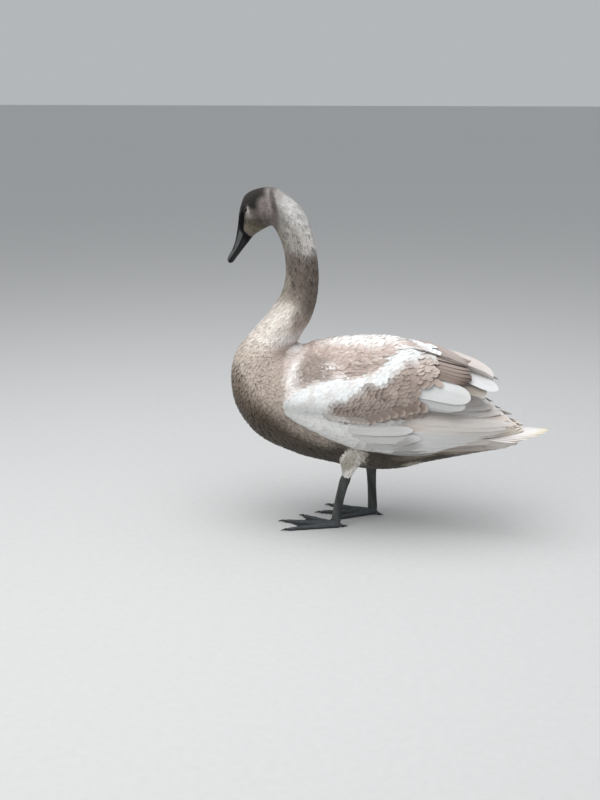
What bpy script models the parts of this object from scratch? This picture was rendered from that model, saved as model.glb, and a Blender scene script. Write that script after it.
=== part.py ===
"""A young mute swan in its first autumn, life size, standing at rest with its neck in an easy curve.

Metres, +Z up. The bird faces -Y and its left side is +X. The origin is on the floor, under the
middle of the bird's bounding box. Every solid reaches out to the tips of its feathers.

The body is one loft of sections from the bill to the tail root. Each section is a plane across the
bird, told by its point on the back line, its point on the belly line and its half width. Thin cuts
part the loft into bill, head, neck and trunk. The wings lie on the trunk in bands, each band told
by angles about an axis inside the trunk, and the legs hang from it.
"""

import math
from collections import namedtuple

import bmesh
import bpy
from mathutils import Matrix, Vector
from mathutils.bvhtree import BVHTree

MM = 0.001
LEFT, RIGHT = 1, -1

# ---------------------------------------------------------------- driving dimensions, millimetres
CUT = 0.3  # width of the thin cuts between neighbouring pieces
WING_GAP = 1.0  # clearance between a folded wing and the flank it lies on
RING_STEP = 21.0  # distance between sections of a loft
BODY_SIDES = 22  # corners of a body section
HEAD_TURN = 6.0  # degrees that the head looks to the bird's right

EYE_RADIUS = 7.0
EYE_CENTRE = (20.0, -332.5, 743.5)

THIGH_TOP_X = 72.0
SHANK_DEPTH, SHANK_WIDTH = 20.0, 14.0
FOOT_TOP = 21.0  # height at which the shank meets the foot
TOE_SPREAD = 27.0  # degrees between the middle toe and its neighbours
TOES = {"inner": (-1, 104.0), "middle": (0, 128.0), "outer": (1, 118.0)}  # side, length
TOE_WIDTH = 13.0
CLAW_LENGTH = 15.0
WEB_BOTTOM, WEB_TOP = 0.8, 3.0
HIND_TOE = 21.0

# Each leg: side, distance from the middle, top of the feathered shin, ankle and foot (y, z), how far
# the shank bows forwards, and the angle by which the foot turns in.
Leg = namedtuple("Leg", "side x thigh ankle foot bow toe_in")
LEGS = {
    "left": Leg(LEFT, 54.0, (-63.0, 212.0), (-84.0, 127.0), (-110.0, FOOT_TOP), 4.0, 6.0),
    "right": Leg(RIGHT, 54.0, (-36.0, 212.0), (-40.0, 127.0), (-34.0, FOOT_TOP), 0.0, 8.0),
}

# Sections of the body: point on the back line (y, z), point on the belly line (y, z), half width,
# and how much the widest place sinks towards the belly.
Section = namedtuple("Section", "back belly half_width sink")
BILL = [
    Section((-384.5, 622.0), (-378.5, 615.5), 4.0, 0.0),
    Section((-382.5, 629.0), (-372.0, 618.0), 12.5, 0.0),
    Section((-377.5, 639.5), (-364.5, 627.5), 16.0, 0.0),
    Section((-370.5, 651.0), (-356.5, 637.5), 15.5, 0.05),
    Section((-363.5, 670.5), (-344.5, 652.5), 14.5, 0.1),
    Section((-359.0, 693.0), (-332.0, 667.5), 16.5, 0.15),
    Section((-356.0, 713.0), (-323.0, 679.0), 19.5, 0.15),
]
HEAD = [
    Section((-354.0, 732.0), (-316.5, 685.0), 23.5, 0.12),
    Section((-349.0, 752.5), (-307.0, 691.5), 27.5, 0.12),
    Section((-337.0, 777.0), (-295.0, 698.5), 32.0, 0.1),
    Section((-306.0, 791.5), (-281.0, 705.5), 35.0, 0.08),
    Section((-266.0, 793.5), (-270.5, 706.0), 36.5, 0.05),
]
NECK = [
    Section((-218.0, 761.0), (-260.0, 691.0), 35.5, 0.0),
    Section((-190.0, 724.0), (-250.0, 670.0), 35.0, 0.0),
    Section((-171.0, 663.0), (-242.0, 640.0), 35.0, 0.0),
    Section((-163.0, 600.0), (-239.5, 598.0), 36.5, 0.0),
    Section((-166.0, 545.0), (-248.0, 558.0), 40.0, 0.0),
    Section((-180.0, 495.0), (-276.0, 513.0), 47.0, 0.0),
    Section((-203.0, 455.0), (-318.0, 463.0), 60.0, 0.0),
]
TRUNK = [
    Section((-216.0, 430.0), (-359.0, 411.0), 74.0, 0.0),
    Section((-218.0, 424.0), (-371.0, 348.0), 86.0, 0.03),
    Section((-213.0, 424.0), (-357.0, 277.0), 96.0, 0.06),
    Section((-198.0, 430.0), (-305.0, 211.0), 104.0, 0.08),
    Section((-165.0, 442.0), (-215.0, 170.0), 110.0, 0.1),
    Section((-110.0, 453.0), (-120.0, 150.0), 114.0, 0.1),
    Section((-40.0, 459.0), (-40.0, 139.0), 115.0, 0.1),
    Section((30.0, 456.0), (35.0, 143.0), 108.0, 0.08),
    Section((95.0, 424.0), (95.0, 160.0), 92.0, 0.05),
    Section((160.0, 374.0), (160.0, 176.0), 73.0, 0.0),
    Section((225.0, 322.0), (225.0, 191.0), 53.0, 0.0),
    Section((285.0, 274.0), (285.0, 206.0), 36.0, 0.0),
    Section((316.0, 250.0), (314.0, 222.0), 22.0, 0.0),
]
NECK_CUTS = (2.4, 4.6)  # where the neck is parted, in sections from its top

# Bands of a folded wing: station along the body, angles of the lower and upper edge about the
# trunk's axis, thickness, and how far the band stands off the rump below it.
Band = namedtuple("Band", "y low high thick lift")
ARM = [
    Band(-222.0, 4.0, 8.0, 5.0, 4.0),
    Band(-215.0, 0.0, 14.0, 15.0, 3.0),
    Band(-198.0, -1.0, 21.0, 22.0, 2.0),
    Band(-160.0, -3.0, 29.5, 25.0, 0.0),
    Band(-114.0, -5.0, 36.0, 25.0, 0.0),
    Band(-46.0, -8.0, 41.5, 25.0, 0.0),
    Band(0.0, -7.0, 55.0, 26.0, 1.0),
    Band(42.0, -2.0, 72.0, 29.0, 3.0),
    Band(80.0, 5.0, 80.0, 31.0, 5.0),
]
TERTIALS = [
    Band(80.0, 5.0, 80.0, 31.0, 5.0),
    Band(120.0, 14.0, 82.0, 34.0, 8.0),
    Band(160.0, 22.0, 83.0, 36.0, 15.0),
    Band(190.0, 30.0, 83.0, 37.0, 23.0),
    Band(206.0, 41.0, 83.0, 36.0, 31.0),
    Band(230.0, 50.0, 83.0, 32.0, 40.0),
    Band(250.0, 58.0, 82.0, 22.0, 48.0),
    Band(262.0, 66.0, 77.0, 8.0, 54.0),
]
HAND = [
    Band(-219.0, -4.5, -1.5, 4.0, 3.0),
    Band(-205.0, -9.5, -2.0, 12.0, 1.5),
    Band(-182.0, -15.5, -3.0, 17.0, 0.0),
    Band(-113.0, -29.0, -6.0, 18.0, 0.0),
    Band(-67.0, -37.0, -8.5, 18.0, 0.0),
    Band(0.0, -42.0, -8.5, 18.0, 0.0),
    Band(62.0, -43.0, -1.5, 17.0, 0.0),
    Band(130.0, -36.0, 14.5, 15.0, 0.0),
    Band(185.0, -20.0, 28.0, 12.0, 2.0),
    Band(230.0, -2.0, 40.0, 10.0, 3.0),
    Band(270.0, 14.0, 48.0, 8.0, 5.0),
    Band(298.0, 34.0, 52.0, 6.0, 8.0),
    Band(309.0, 44.0, 50.0, 3.0, 11.0),
]
AXIS_FRONT, AXIS_BEND_Y, AXIS_BACK_Y, AXIS_BACK = 298.0, 20.0, 316.0, 236.0
BAND_POINTS = 8

# The tail: a graduated fan, told by station, half width, height of its crest and of its edge.
TAIL = [
    (236.0, 44.0, 252.0, 244.0),
    (262.0, 57.0, 251.5, 242.0),
    (300.0, 63.0, 250.5, 240.0),
    (318.0, 57.0, 250.0, 241.0),
    (338.0, 43.0, 249.5, 242.0),
    (358.0, 28.0, 249.0, 244.0),
    (372.0, 15.0, 248.5, 246.0),
    (380.0, 5.0, 248.0, 247.5),
]
TAIL_THICK, TAIL_SIDES = 5.0, 7

# ---------------------------------------------------------------- materials
COLOURS = {
    "head_down": ((0.20, 0.16, 0.15), 0.9),
    "neck_down": ((0.42, 0.36, 0.34), 0.9),
    "body_down": ((0.36, 0.30, 0.25), 0.9),
    "coverts": ((0.55, 0.47, 0.44), 0.85),
    "quills": ((0.66, 0.63, 0.61), 0.8),
    "tail_quills": ((0.82, 0.77, 0.68), 0.8),
    "bill_horn": ((0.06, 0.06, 0.07), 0.45),
    "eye": ((0.02, 0.014, 0.01), 0.1),
    "leg_skin": ((0.09, 0.10, 0.11), 0.6),
    "claw": ((0.03, 0.03, 0.03), 0.4),
}


def clear_scene():
    """Removes whatever the scene holds."""
    for obj in list(bpy.data.objects):
        bpy.data.objects.remove(obj, do_unlink=True)


def material(name):
    """The named material, made once."""
    found = bpy.data.materials.get(name)
    if found:
        return found
    colour, roughness = COLOURS[name]
    made = bpy.data.materials.new(name)
    made.use_nodes = True
    shader = made.node_tree.nodes["Principled BSDF"]
    shader.inputs["Base Color"].default_value = (*colour, 1.0)
    shader.inputs["Roughness"].default_value = roughness
    return made


def new_collection(name):
    """A collection linked to the scene."""
    made = bpy.data.collections.new(name)
    bpy.context.scene.collection.children.link(made)
    return made


def add_mesh(name, bm, finish, collection):
    """Turns a bmesh into a named object whose faces point outwards."""
    bmesh.ops.recalc_face_normals(bm, faces=bm.faces)
    mesh = bpy.data.meshes.new(name)
    bm.to_mesh(mesh)
    bm.free()
    mesh.shade_smooth()
    mesh.set_sharp_from_angle(angle=math.radians(50))
    if finish:
        mesh.materials.append(material(finish))
    obj = bpy.data.objects.new(name, mesh)
    collection.objects.link(obj)
    return obj


def loft(rings):
    """A closed bmesh through rings of equal count, capped at both ends."""
    bm = bmesh.new()
    rows = [[bm.verts.new(p * MM) for p in ring] for ring in rings]
    count = len(rows[0])
    for near, far in zip(rows, rows[1:]):
        for i in range(count):
            j = (i + 1) % count
            bm.faces.new((near[i], near[j], far[j], far[i]))
    bm.faces.new(rows[0])
    bm.faces.new(rows[-1])
    return bm


def blend_rows(rows, places, at):
    """Smooth values between rows of numbers that stand at the given places."""
    last = len(rows) - 1
    k = max(0, min(last - 1, sum(1 for p in places if p <= at) - 1))
    span = places[k + 1] - places[k]
    u = (at - places[k]) / span

    def slope(i, axis):
        a, b = max(i - 1, 0), min(i + 1, last)
        return (rows[b][axis] - rows[a][axis]) / (places[b] - places[a]) * span

    values = []
    for axis in range(len(rows[0])):
        p, q = rows[k][axis], rows[k + 1][axis]
        m, n = slope(k, axis), slope(k + 1, axis)
        values.append(
            (2 * u**3 - 3 * u**2 + 1) * p
            + (u**3 - 2 * u**2 + u) * m
            + (3 * u**2 - 2 * u**3) * q
            + (u**3 - u**2) * n
        )
    return values


# ---------------------------------------------------------------- the body loft
def turned(point, share):
    """A point of the head or neck, turned about the upright line through the nape."""
    pivot = Vector((0.0, NECK[3].back[0], 0.0))
    turn = Matrix.Rotation(math.radians(-HEAD_TURN) * share, 3, "Z")
    return pivot + turn @ (point - pivot)


class Body:
    """The loft from the bill to the tail root, read at any place along its sections."""

    def __init__(self, sections):
        self.rows = [(*s.back, *s.belly, s.half_width, s.sink) for s in sections]
        self.places = [0.0]
        for a, b in zip(self.rows, self.rows[1:]):
            step = (math.dist(a[:2], b[:2]) + math.dist(a[2:4], b[2:4])) / 2
            self.places.append(self.places[-1] + step)
        self.neck_top = len(BILL) + len(HEAD)
        self.neck_end = self.neck_top + len(NECK)

    def place(self, index):
        """The distance along the loft of a section number, which may be a fraction."""
        k = min(int(index), len(self.places) - 2)
        return self.places[k] + (index - k) * (self.places[k + 1] - self.places[k])

    def turn_share(self, at):
        """How much of the head's turn a section takes: all at the head, none at the breast."""
        start, end = self.places[self.neck_top], self.places[self.neck_top + 5]
        share = min(1.0, max(0.0, (end - at) / (end - start)))
        return share * share * (3 - 2 * share)

    def ring(self, at, shift=0.0):
        """The section at a distance along the loft, moved along its normal by shift."""
        back_y, back_z, belly_y, belly_z, width, sink = blend_rows(self.rows, self.places, at)
        middle = Vector((0.0, (back_y + belly_y) / 2, (back_z + belly_z) / 2))
        half = Vector((0.0, (back_y - belly_y) / 2, (back_z - belly_z) / 2))
        normal = Vector((1.0, 0.0, 0.0)).cross(half).normalized()
        points = []
        for i in range(BODY_SIDES):
            angle = 2 * math.pi * i / BODY_SIDES
            up, out = math.cos(angle), math.sin(angle)
            point = middle + half * up + normal * shift
            point.x = width * out * (1 - sink * up)
            points.append(turned(point, self.turn_share(at)))
        return points

    def rings(self, start, end):
        """Sections from one section number to another, drawn in from the cuts at both ends."""
        a, b = self.place(start), self.place(end)
        count = max(2, round((b - a) / RING_STEP))
        inner = [self.ring(a + (b - a) * i / count) for i in range(1, count)]
        first, last = self.ring(a), self.ring(b)
        way = sum(last, Vector()) - sum(first, Vector())
        ends = []
        for at, sign in ((a, 1), (b, -1)):
            shifted = self.ring(at, CUT / 2)
            moved = sum(shifted, Vector()) - sum(self.ring(at), Vector())
            inwards = moved.dot(way) * sign > 0
            ends.append(self.ring(at, CUT / 2 if inwards else -CUT / 2))
        return [ends[0], *inner, ends[1]]


BODY = Body(BILL + HEAD + NECK + TRUNK)


def make_bill(collection):
    """The bill, parted along the mouth into an upper and a lower half."""
    mouth_front, mouth_back = Vector((0, -379.0, 619.5)), Vector((0, -322.0, 691.0))
    along = (mouth_back - mouth_front).normalized()
    upwards = Vector((1, 0, 0)).cross(along)
    if upwards.z < 0:
        upwards = -upwards
    head_on = turned(mouth_front, 1.0) * MM
    normal = (turned(mouth_front + upwards, 1.0) - turned(mouth_front, 1.0)).normalized()
    for name, sign in (("bill_upper", 1), ("bill_lower", -1)):
        bm = loft(BODY.rings(0, len(BILL) - 1))
        offset = normal * sign * CUT / 2 * MM
        cut = bmesh.ops.bisect_plane(
            bm,
            geom=bm.verts[:] + bm.edges[:] + bm.faces[:],
            dist=1e-7,
            plane_co=head_on + offset,
            plane_no=normal * sign,
            clear_inner=True,
        )
        rim = [e for e in cut["geom_cut"] if isinstance(e, bmesh.types.BMEdge)]
        bmesh.ops.contextual_create(bm, geom=rim)
        add_mesh(name, bm, "bill_horn", collection)


def make_ball(name, centre, radius, finish, collection, segments=16):
    """A round ball."""
    bm = bmesh.new()
    bmesh.ops.create_uvsphere(bm, u_segments=segments, v_segments=segments // 2, radius=radius * MM)
    bmesh.ops.translate(bm, verts=bm.verts, vec=centre * MM)
    return add_mesh(name, bm, finish, collection)


def subtract(obj, cutter):
    """Cuts one object by another with a Boolean modifier."""
    cut = obj.modifiers.new("cut by " + cutter.name, "BOOLEAN")
    cut.operation = "DIFFERENCE"
    cut.solver = "EXACT"
    cut.object = cutter


def as_cutter(obj, name, grow, cutters):
    """A hidden copy of a mesh object, grown outwards, that other pieces are cut by."""
    bm = bmesh.new()
    bm.from_mesh(obj.data)
    bm.normal_update()
    for vert in bm.verts:
        vert.co += vert.normal * grow * MM
    cutter = add_mesh(name, bm, None, cutters)
    cutter.hide_render = True
    cutter.display_type = "WIRE"
    return cutter


def make_head(collection, cutters):
    """The head with a socket for each eye, and the eyes."""
    first, last = len(BILL) - 1, BODY.neck_top - 0.35
    head = add_mesh("head", loft(BODY.rings(first, last)), "head_down", collection)
    for name, side in (("left", LEFT), ("right", RIGHT)):
        x, y, z = EYE_CENTRE
        centre = turned(Vector((x * side, y, z)), 1.0)
        make_ball("eye_" + name, centre, EYE_RADIUS, "eye", collection)
        socket = make_ball("socket_" + name, centre, EYE_RADIUS + CUT, None, cutters)
        socket.hide_render = True
        socket.display_type = "WIRE"
        subtract(head, socket)


def make_neck_and_trunk(collection):
    """Three lengths of neck, then the trunk, which is returned."""
    top = BODY.neck_top
    cuts = [top - 0.35, top + NECK_CUTS[0], top + NECK_CUTS[1], BODY.neck_end - 0.6]
    for name, start, end in zip(("neck_upper", "neck_middle", "neck_lower"), cuts, cuts[1:]):
        add_mesh(name, loft(BODY.rings(start, end)), "neck_down", collection)
    tail_root = len(BODY.rows) - 1
    return add_mesh("trunk", loft(BODY.rings(cuts[-1], tail_root)), "body_down", collection)


# ---------------------------------------------------------------- wings
def axis_height(y):
    """Height of the line inside the trunk about which the wings' angles are told."""
    share = (y - AXIS_BEND_Y) / (AXIS_BACK_Y - AXIS_BEND_Y)
    return AXIS_FRONT + (AXIS_BACK - AXIS_FRONT) * min(1.0, max(0.0, share))


def flank_radius(tree, y, angle):
    """Distance from the axis out to the trunk's surface, at a station and an angle."""
    start = Vector((0.0, y, axis_height(y))) * MM
    way = Vector((math.cos(angle), 0.0, math.sin(angle)))
    hit = tree.ray_cast(start, way)
    return hit[3] / MM


def band_ring(tree, band, side):
    """One section of a wing band: its outer arc, then its inner arc back again."""
    outer, inner = [], []
    for i in range(BAND_POINTS):
        share = i / (BAND_POINTS - 1)
        angle = math.radians(band.low + (band.high - band.low) * share)
        crown = math.sin(math.pi * (0.06 + 0.88 * share)) ** 0.6
        base = flank_radius(tree, band.y, angle) + WING_GAP + band.lift
        for arc, radius in ((outer, base + band.thick * crown), (inner, base)):
            x, z = radius * math.cos(angle), axis_height(band.y) + radius * math.sin(angle)
            arc.append(Vector((side * x, band.y, z)))
    return outer + inner[::-1]


def make_band(name, bands, tree, side, finish, collection, trim=(0.0, 0.0)):
    """A loft through wing bands, drawn in by trim at its two ends."""
    rows = [tuple(b) for b in bands]
    places = [b.y for b in bands]
    start, end = places[0] + trim[0], places[-1] - trim[1]
    count = max(3, round((end - start) / RING_STEP))
    stations = sorted({start, *places[1:-1], end})
    fine = [stations[0]]
    for a, b in zip(stations, stations[1:]):
        steps = max(1, round((b - a) * count / (end - start)))
        fine += [a + (b - a) * (i + 1) / steps for i in range(steps)]
    rings = [band_ring(tree, Band(*blend_rows(rows, places, y)), side) for y in fine]
    return add_mesh(name, loft(rings), finish, collection)


def make_wings(trunk, collection):
    """Both folded wings: the covert-clad arm, the tertials behind it and the hand below."""
    bm = bmesh.new()
    bm.from_mesh(trunk.data)
    tree = BVHTree.FromBMesh(bm)
    bm.free()
    for name, side in (("left", LEFT), ("right", RIGHT)):
        make_band(f"wing_{name}_arm", ARM, tree, side, "coverts", collection, (0.0, CUT / 2))
        make_band(f"wing_{name}_tertials", TERTIALS, tree, side, "quills", collection, (CUT / 2, 0.0))
        make_band(f"wing_{name}_hand", HAND, tree, side, "quills", collection)


# ---------------------------------------------------------------- tail
def make_tail(collection, cutters):
    """The graduated tail fan, notched for what lies in and on it."""
    rows = [row for row in TAIL]
    rings = []
    for y, half_width, crest, edge in rows:
        top, under = [], []
        for i in range(TAIL_SIDES):
            out = -1 + 2 * i / (TAIL_SIDES - 1)
            z = crest + (edge - crest) * out * out
            thick = TAIL_THICK * (1 - 0.7 * abs(out)) * min(1.0, 0.35 + half_width / 60)
            top.append(Vector((half_width * out, y, z)))
            under.append(Vector((half_width * out, y, z - thick)))
        rings.append(top + under[::-1])
    tail = add_mesh("tail", loft(rings), "tail_quills", collection)
    for cutter in cutters:
        subtract(tail, cutter)


# ---------------------------------------------------------------- legs
def oval_ring(centre, side_way, other_way, half_side, half_other, count=10):
    """An oval of points in the plane of two directions."""
    points = []
    for i in range(count):
        angle = 2 * math.pi * i / count
        points.append(centre + side_way * half_side * math.cos(angle) + other_way * half_other * math.sin(angle))
    return points


def make_thigh(name, leg, collection, belly):
    """The feathered shin that shows below the belly, cut to the belly's surface."""
    x = Vector((1, 0, 0))
    top = Vector((leg.side * THIGH_TOP_X, leg.thigh[0], leg.thigh[1]))
    ankle = Vector((leg.side * leg.x, leg.ankle[0], leg.ankle[1] + 4.0))
    across = x.cross((ankle - top).normalized()).normalized()
    sizes = ((0.0, 26.0, 32.0), (0.3, 24.0, 28.5), (0.6, 18.0, 21.5), (0.85, 12.0, 14.5), (1.0, 9.0, 11.0))
    rings = []
    for share, wide, deep in sizes:
        level = across.lerp(Vector((0, 1, 0)), share).normalized()
        rings.append(oval_ring(top.lerp(ankle, share), x, level, wide, deep, 12))
    thigh = add_mesh("thigh_" + name, loft(rings), "body_down", collection)
    subtract(thigh, belly)


def make_shank(name, leg, collection):
    """The bare shank, thick at the ankle and at the foot."""
    x, y = Vector((1, 0, 0)), Vector((0, 1, 0))
    ankle = Vector((leg.side * leg.x, leg.ankle[0], leg.ankle[1] + 4.0 - CUT))
    foot = Vector((leg.side * leg.x, leg.foot[0], leg.foot[1] + CUT))
    sizes = ((0.0, 1.0, 1.0), (0.1, 1.2, 1.25), (0.24, 1.0, 1.05), (0.5, 0.85, 0.88), (0.8, 0.92, 1.0), (1.0, 1.12, 1.1))
    rings = []
    for share, wide, deep in sizes:
        centre = ankle.lerp(foot, share) - y * leg.bow * math.sin(math.pi * share)
        rings.append(oval_ring(centre, x, y, SHANK_WIDTH / 2 * wide, SHANK_DEPTH / 2 * deep))
    add_mesh("shank_" + name, loft(rings), "leg_skin", collection)


def toe_direction(leg, way):
    """The level direction in which a toe points."""
    angle = math.radians(leg.toe_in - way * TOE_SPREAD) * leg.side
    return Vector((-math.sin(angle), -math.cos(angle), 0.0))


def dome_ring(centre, across, half_width, height):
    """A toe's section: flat on the floor and rounded above, in the plane across the toe."""
    points = []
    for i in range(7):
        angle = math.pi * i / 6
        out = math.cos(angle)
        points.append(centre + across * half_width * out + Vector((0, 0, height * math.sin(angle) ** 0.8)))
    return points


def toe_loft(root, direction, length):
    """One front toe with its joints, from the foot's middle to the root of the claw."""
    across = direction.cross(Vector((0, 0, 1)))
    joints = ((0.0, 1.0, 16.0), (0.2, 0.85, 13.5), (0.34, 1.0, 12.5), (0.5, 0.8, 10.5), (0.64, 0.94, 10.5),
              (0.8, 0.7, 8.5), (0.92, 0.8, 8.0), (1.0, 0.5, 5.5))
    rings = []
    for share, wide, height in joints:
        rings.append(dome_ring(root + direction * length * share, across, TOE_WIDTH / 2 * wide, height))
    return loft(rings)


def web_between(root, first, second):
    """The thin web between two toes, with its front edge drawn in. Each toe is (direction, length)."""
    bm = bmesh.new()
    (a, reach_a), (b, reach_b) = first, second
    outline = [root]
    for i in range(9):
        share = i / 8
        way = a.lerp(b, share).normalized()
        reach = (reach_a + (reach_b - reach_a) * share) * (0.95 - 0.2 * math.sin(math.pi * share))
        outline.append(root + way * reach)
    verts = [bm.verts.new((p + Vector((0, 0, WEB_BOTTOM))) * MM) for p in outline]
    face = bm.faces.new(verts)
    grown = bmesh.ops.extrude_face_region(bm, geom=[face])
    lifted = [v for v in grown["geom"] if isinstance(v, bmesh.types.BMVert)]
    bmesh.ops.translate(bm, verts=lifted, vec=Vector((0, 0, WEB_TOP - WEB_BOTTOM)) * MM)
    return bm


def join_to(obj, other, cutters):
    """Unites a helper mesh with an object by a Boolean modifier."""
    helper = add_mesh(other[0], other[1], None, cutters)
    helper.hide_render = True
    helper.display_type = "WIRE"
    union = obj.modifiers.new("with " + other[0], "BOOLEAN")
    union.operation = "UNION"
    union.solver = "EXACT"
    union.object = helper


def claw_loft(root, direction, length, radius, droop):
    """A claw: a short cone that curves down to a blunt tip."""
    across = direction.cross(Vector((0, 0, 1))).normalized()
    rings = []
    for share in (0.0, 0.35, 0.7, 1.0):
        centre = root + direction * length * share + Vector((0, 0, -droop * share * share))
        size = radius * (1 - 0.8 * share)
        up = (across.cross(direction) + direction * 0.6 * share).normalized()
        rings.append(oval_ring(centre, across, up, size, size, 8))
    return loft(rings)


def make_foot(name, leg, collection, cutters):
    """The webbed foot, flat on the floor, with its claws."""
    root = Vector((leg.side * leg.x, leg.foot[0], 0.0))
    x, y = Vector((1, 0, 0)), Vector((0, 1, 0))
    stub = [
        oval_ring(root + Vector((0, 0, z)), x, y, SHANK_WIDTH / 2 * wide, SHANK_DEPTH / 2 * deep)
        for z, wide, deep in ((0.0, 1.0, 0.95), (7.0, 1.2, 1.15), (FOOT_TOP, 1.12, 1.1))
    ]
    foot = add_mesh("foot_" + name, loft(stub), "leg_skin", collection)
    toes = {}
    for toe, (way, length) in TOES.items():
        direction = toe_direction(leg, way)
        toes[toe] = (direction, length)
        join_to(foot, (f"toe_{name}_{toe}", toe_loft(root, direction, length)), cutters)
        claw_root = root + direction * (length + CUT) + Vector((0, 0, 3.9))
        claw = claw_loft(claw_root, direction, CLAW_LENGTH, 2.9, 2.6)
        add_mesh(f"claw_{name}_{toe}", claw, "claw", collection)
    for first, second in (("inner", "middle"), ("middle", "outer")):
        web = web_between(root, toes[first], toes[second])
        join_to(foot, (f"web_{name}_{first}", web), cutters)
    backwards = Vector((-0.3 * leg.side, 1.0, 0.0)).normalized()
    across = backwards.cross(Vector((0, 0, 1)))
    rings = [
        dome_ring(root + backwards * HIND_TOE * share + Vector((0, 0, lift)), across, wide, height)
        for share, lift, wide, height in ((0.0, 8.0, 4.4, 9.0), (0.45, 4.0, 4.2, 8.0), (0.72, 0.0, 4.0, 7.0),
                                          (1.0, 0.0, 3.0, 4.6))
    ]
    join_to(foot, (f"hind_toe_{name}", loft(rings)), cutters)
    claw_root = root + backwards * (HIND_TOE + CUT) + Vector((0, 0, 2.9))
    hind_claw = claw_loft(claw_root, backwards, CLAW_LENGTH * 0.5, 2.1, 1.2)
    add_mesh(f"claw_{name}_hind", hind_claw, "claw", collection)


def main():
    """Builds the swan."""
    clear_scene()
    swan, cutters = new_collection("swan"), new_collection("cutters")
    make_bill(swan)
    make_head(swan, cutters)
    trunk = make_neck_and_trunk(swan)
    make_wings(trunk, swan)
    belly = as_cutter(trunk, "trunk_cutter", CUT, cutters)
    hands = [
        as_cutter(swan.objects[f"wing_{side}_hand"], f"hand_cutter_{side}", CUT, cutters)
        for side in LEGS
    ]
    make_tail(swan, [belly, *hands])
    for name, leg in LEGS.items():
        make_thigh(name, leg, swan, belly)
        make_shank(name, leg, swan)
        make_foot(name, leg, swan, cutters)


main()
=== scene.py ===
"""The looks of a life-size young mute swan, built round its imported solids.

Metres, +Z up, the bird faces -Y and its left side is +X. One skin stands for the flesh. Feathers are
thin solid vanes that lie over it from the bill backwards, and the bill, eyes, legs and claws are
pieces of their own.
"""

import logging
import math
from dataclasses import dataclass, field, replace
from enum import Enum
from typing import Callable, Sequence

import bmesh
import bpy
import numpy as np
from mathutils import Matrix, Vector
from mathutils.bvhtree import BVHTree

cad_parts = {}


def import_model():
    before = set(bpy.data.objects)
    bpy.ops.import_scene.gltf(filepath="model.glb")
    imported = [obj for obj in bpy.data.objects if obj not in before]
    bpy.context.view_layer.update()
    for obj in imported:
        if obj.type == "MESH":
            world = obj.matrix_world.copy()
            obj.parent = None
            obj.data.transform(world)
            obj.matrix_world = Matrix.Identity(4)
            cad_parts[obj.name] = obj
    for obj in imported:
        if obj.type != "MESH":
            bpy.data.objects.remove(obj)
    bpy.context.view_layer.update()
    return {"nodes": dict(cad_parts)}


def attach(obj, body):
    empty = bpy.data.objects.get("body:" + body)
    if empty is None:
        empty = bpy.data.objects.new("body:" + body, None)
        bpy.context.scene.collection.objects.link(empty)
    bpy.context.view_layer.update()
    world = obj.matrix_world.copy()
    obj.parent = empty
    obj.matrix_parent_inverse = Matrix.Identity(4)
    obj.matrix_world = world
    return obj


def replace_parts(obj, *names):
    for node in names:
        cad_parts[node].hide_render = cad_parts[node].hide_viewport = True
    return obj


LOG = logging.getLogger("swan")
MM = 0.001
FULL_TURN = 2 * math.pi
BODY = "root"
BAKE_MAP, VANE_MAP, COLOUR_LAYER = "OFBake", "Vane", "plumage"
TUFT_PATCH = 0.003  # width of a feather's own patch on the bake map

Array = np.ndarray
Line = tuple[tuple[float, float], ...]


class Side(Enum):
    """Which side of the bird a piece is on, as the sign of its x."""

    LEFT = 1
    RIGHT = -1

    @property
    def word(self) -> str:
        """The side's name as the solids spell it."""
        return self.name.lower()


# ---------------------------------------------------------------- colours and small helpers
def linear(hex_colour: str) -> Array:
    """Turns an sRGB hex colour into linear red, green and blue.

    Args:
        hex_colour: Six hex digits after a hash sign.

    Returns:
        Three linear values from 0 to 1.
    """
    raw = np.array([int(hex_colour[i : i + 2], 16) for i in (1, 3, 5)]) / 255.0
    return np.where(raw <= 0.04045, raw / 12.92, ((raw + 0.055) / 1.055) ** 2.4)


def plain(hex_colour: str, count: int) -> Array:
    """The same linear colour in each of several rows."""
    return np.broadcast_to(linear(hex_colour), (count, 3))


def smooth(low: float, high: float, value: Array) -> Array:
    """A soft step from 0 at low to 1 at high."""
    share = np.clip((value - low) / (high - low), 0.0, 1.0)
    return share * share * (3 - 2 * share)


def bell(value: Array, middle: float, half: float) -> Array:
    """A soft bump of height 1 about a middle."""
    return np.exp(-(((value - middle) / half) ** 2))


def unit(vectors: Array) -> Array:
    """Vectors of length one along the last axis."""
    return vectors / np.maximum(np.linalg.norm(vectors, axis=-1, keepdims=True), 1e-12)


def read(line: Line, at: Array) -> Array:
    """The second value of a line of pairs at places told by the first."""
    return np.interp(at, [p[0] for p in line], [p[1] for p in line])


def waves(points: Array, size: float, seed: int) -> Array:
    """Soft mottling, about -1 to 1, whose blotches are about size wide.

    Args:
        points: Places in metres, one row each.
        size: Width of a blotch in metres.
        seed: Picks one of many mottlings.

    Returns:
        One value for each place.
    """
    rng = np.random.default_rng(seed)
    total = np.zeros(len(points))
    for _ in range(7):
        way = unit(rng.normal(size=3))
        pitch = FULL_TURN / (size * rng.uniform(1.3, 3.2))
        total += np.sin(points @ way * pitch + rng.uniform(0, FULL_TURN))
    return total / 3.2


def mix(first: Array, second: Array, share: Array) -> Array:
    """Colours between two, by a share for each row."""
    share = np.asarray(share)[..., None]
    return first * (1 - share) + second * share


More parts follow.
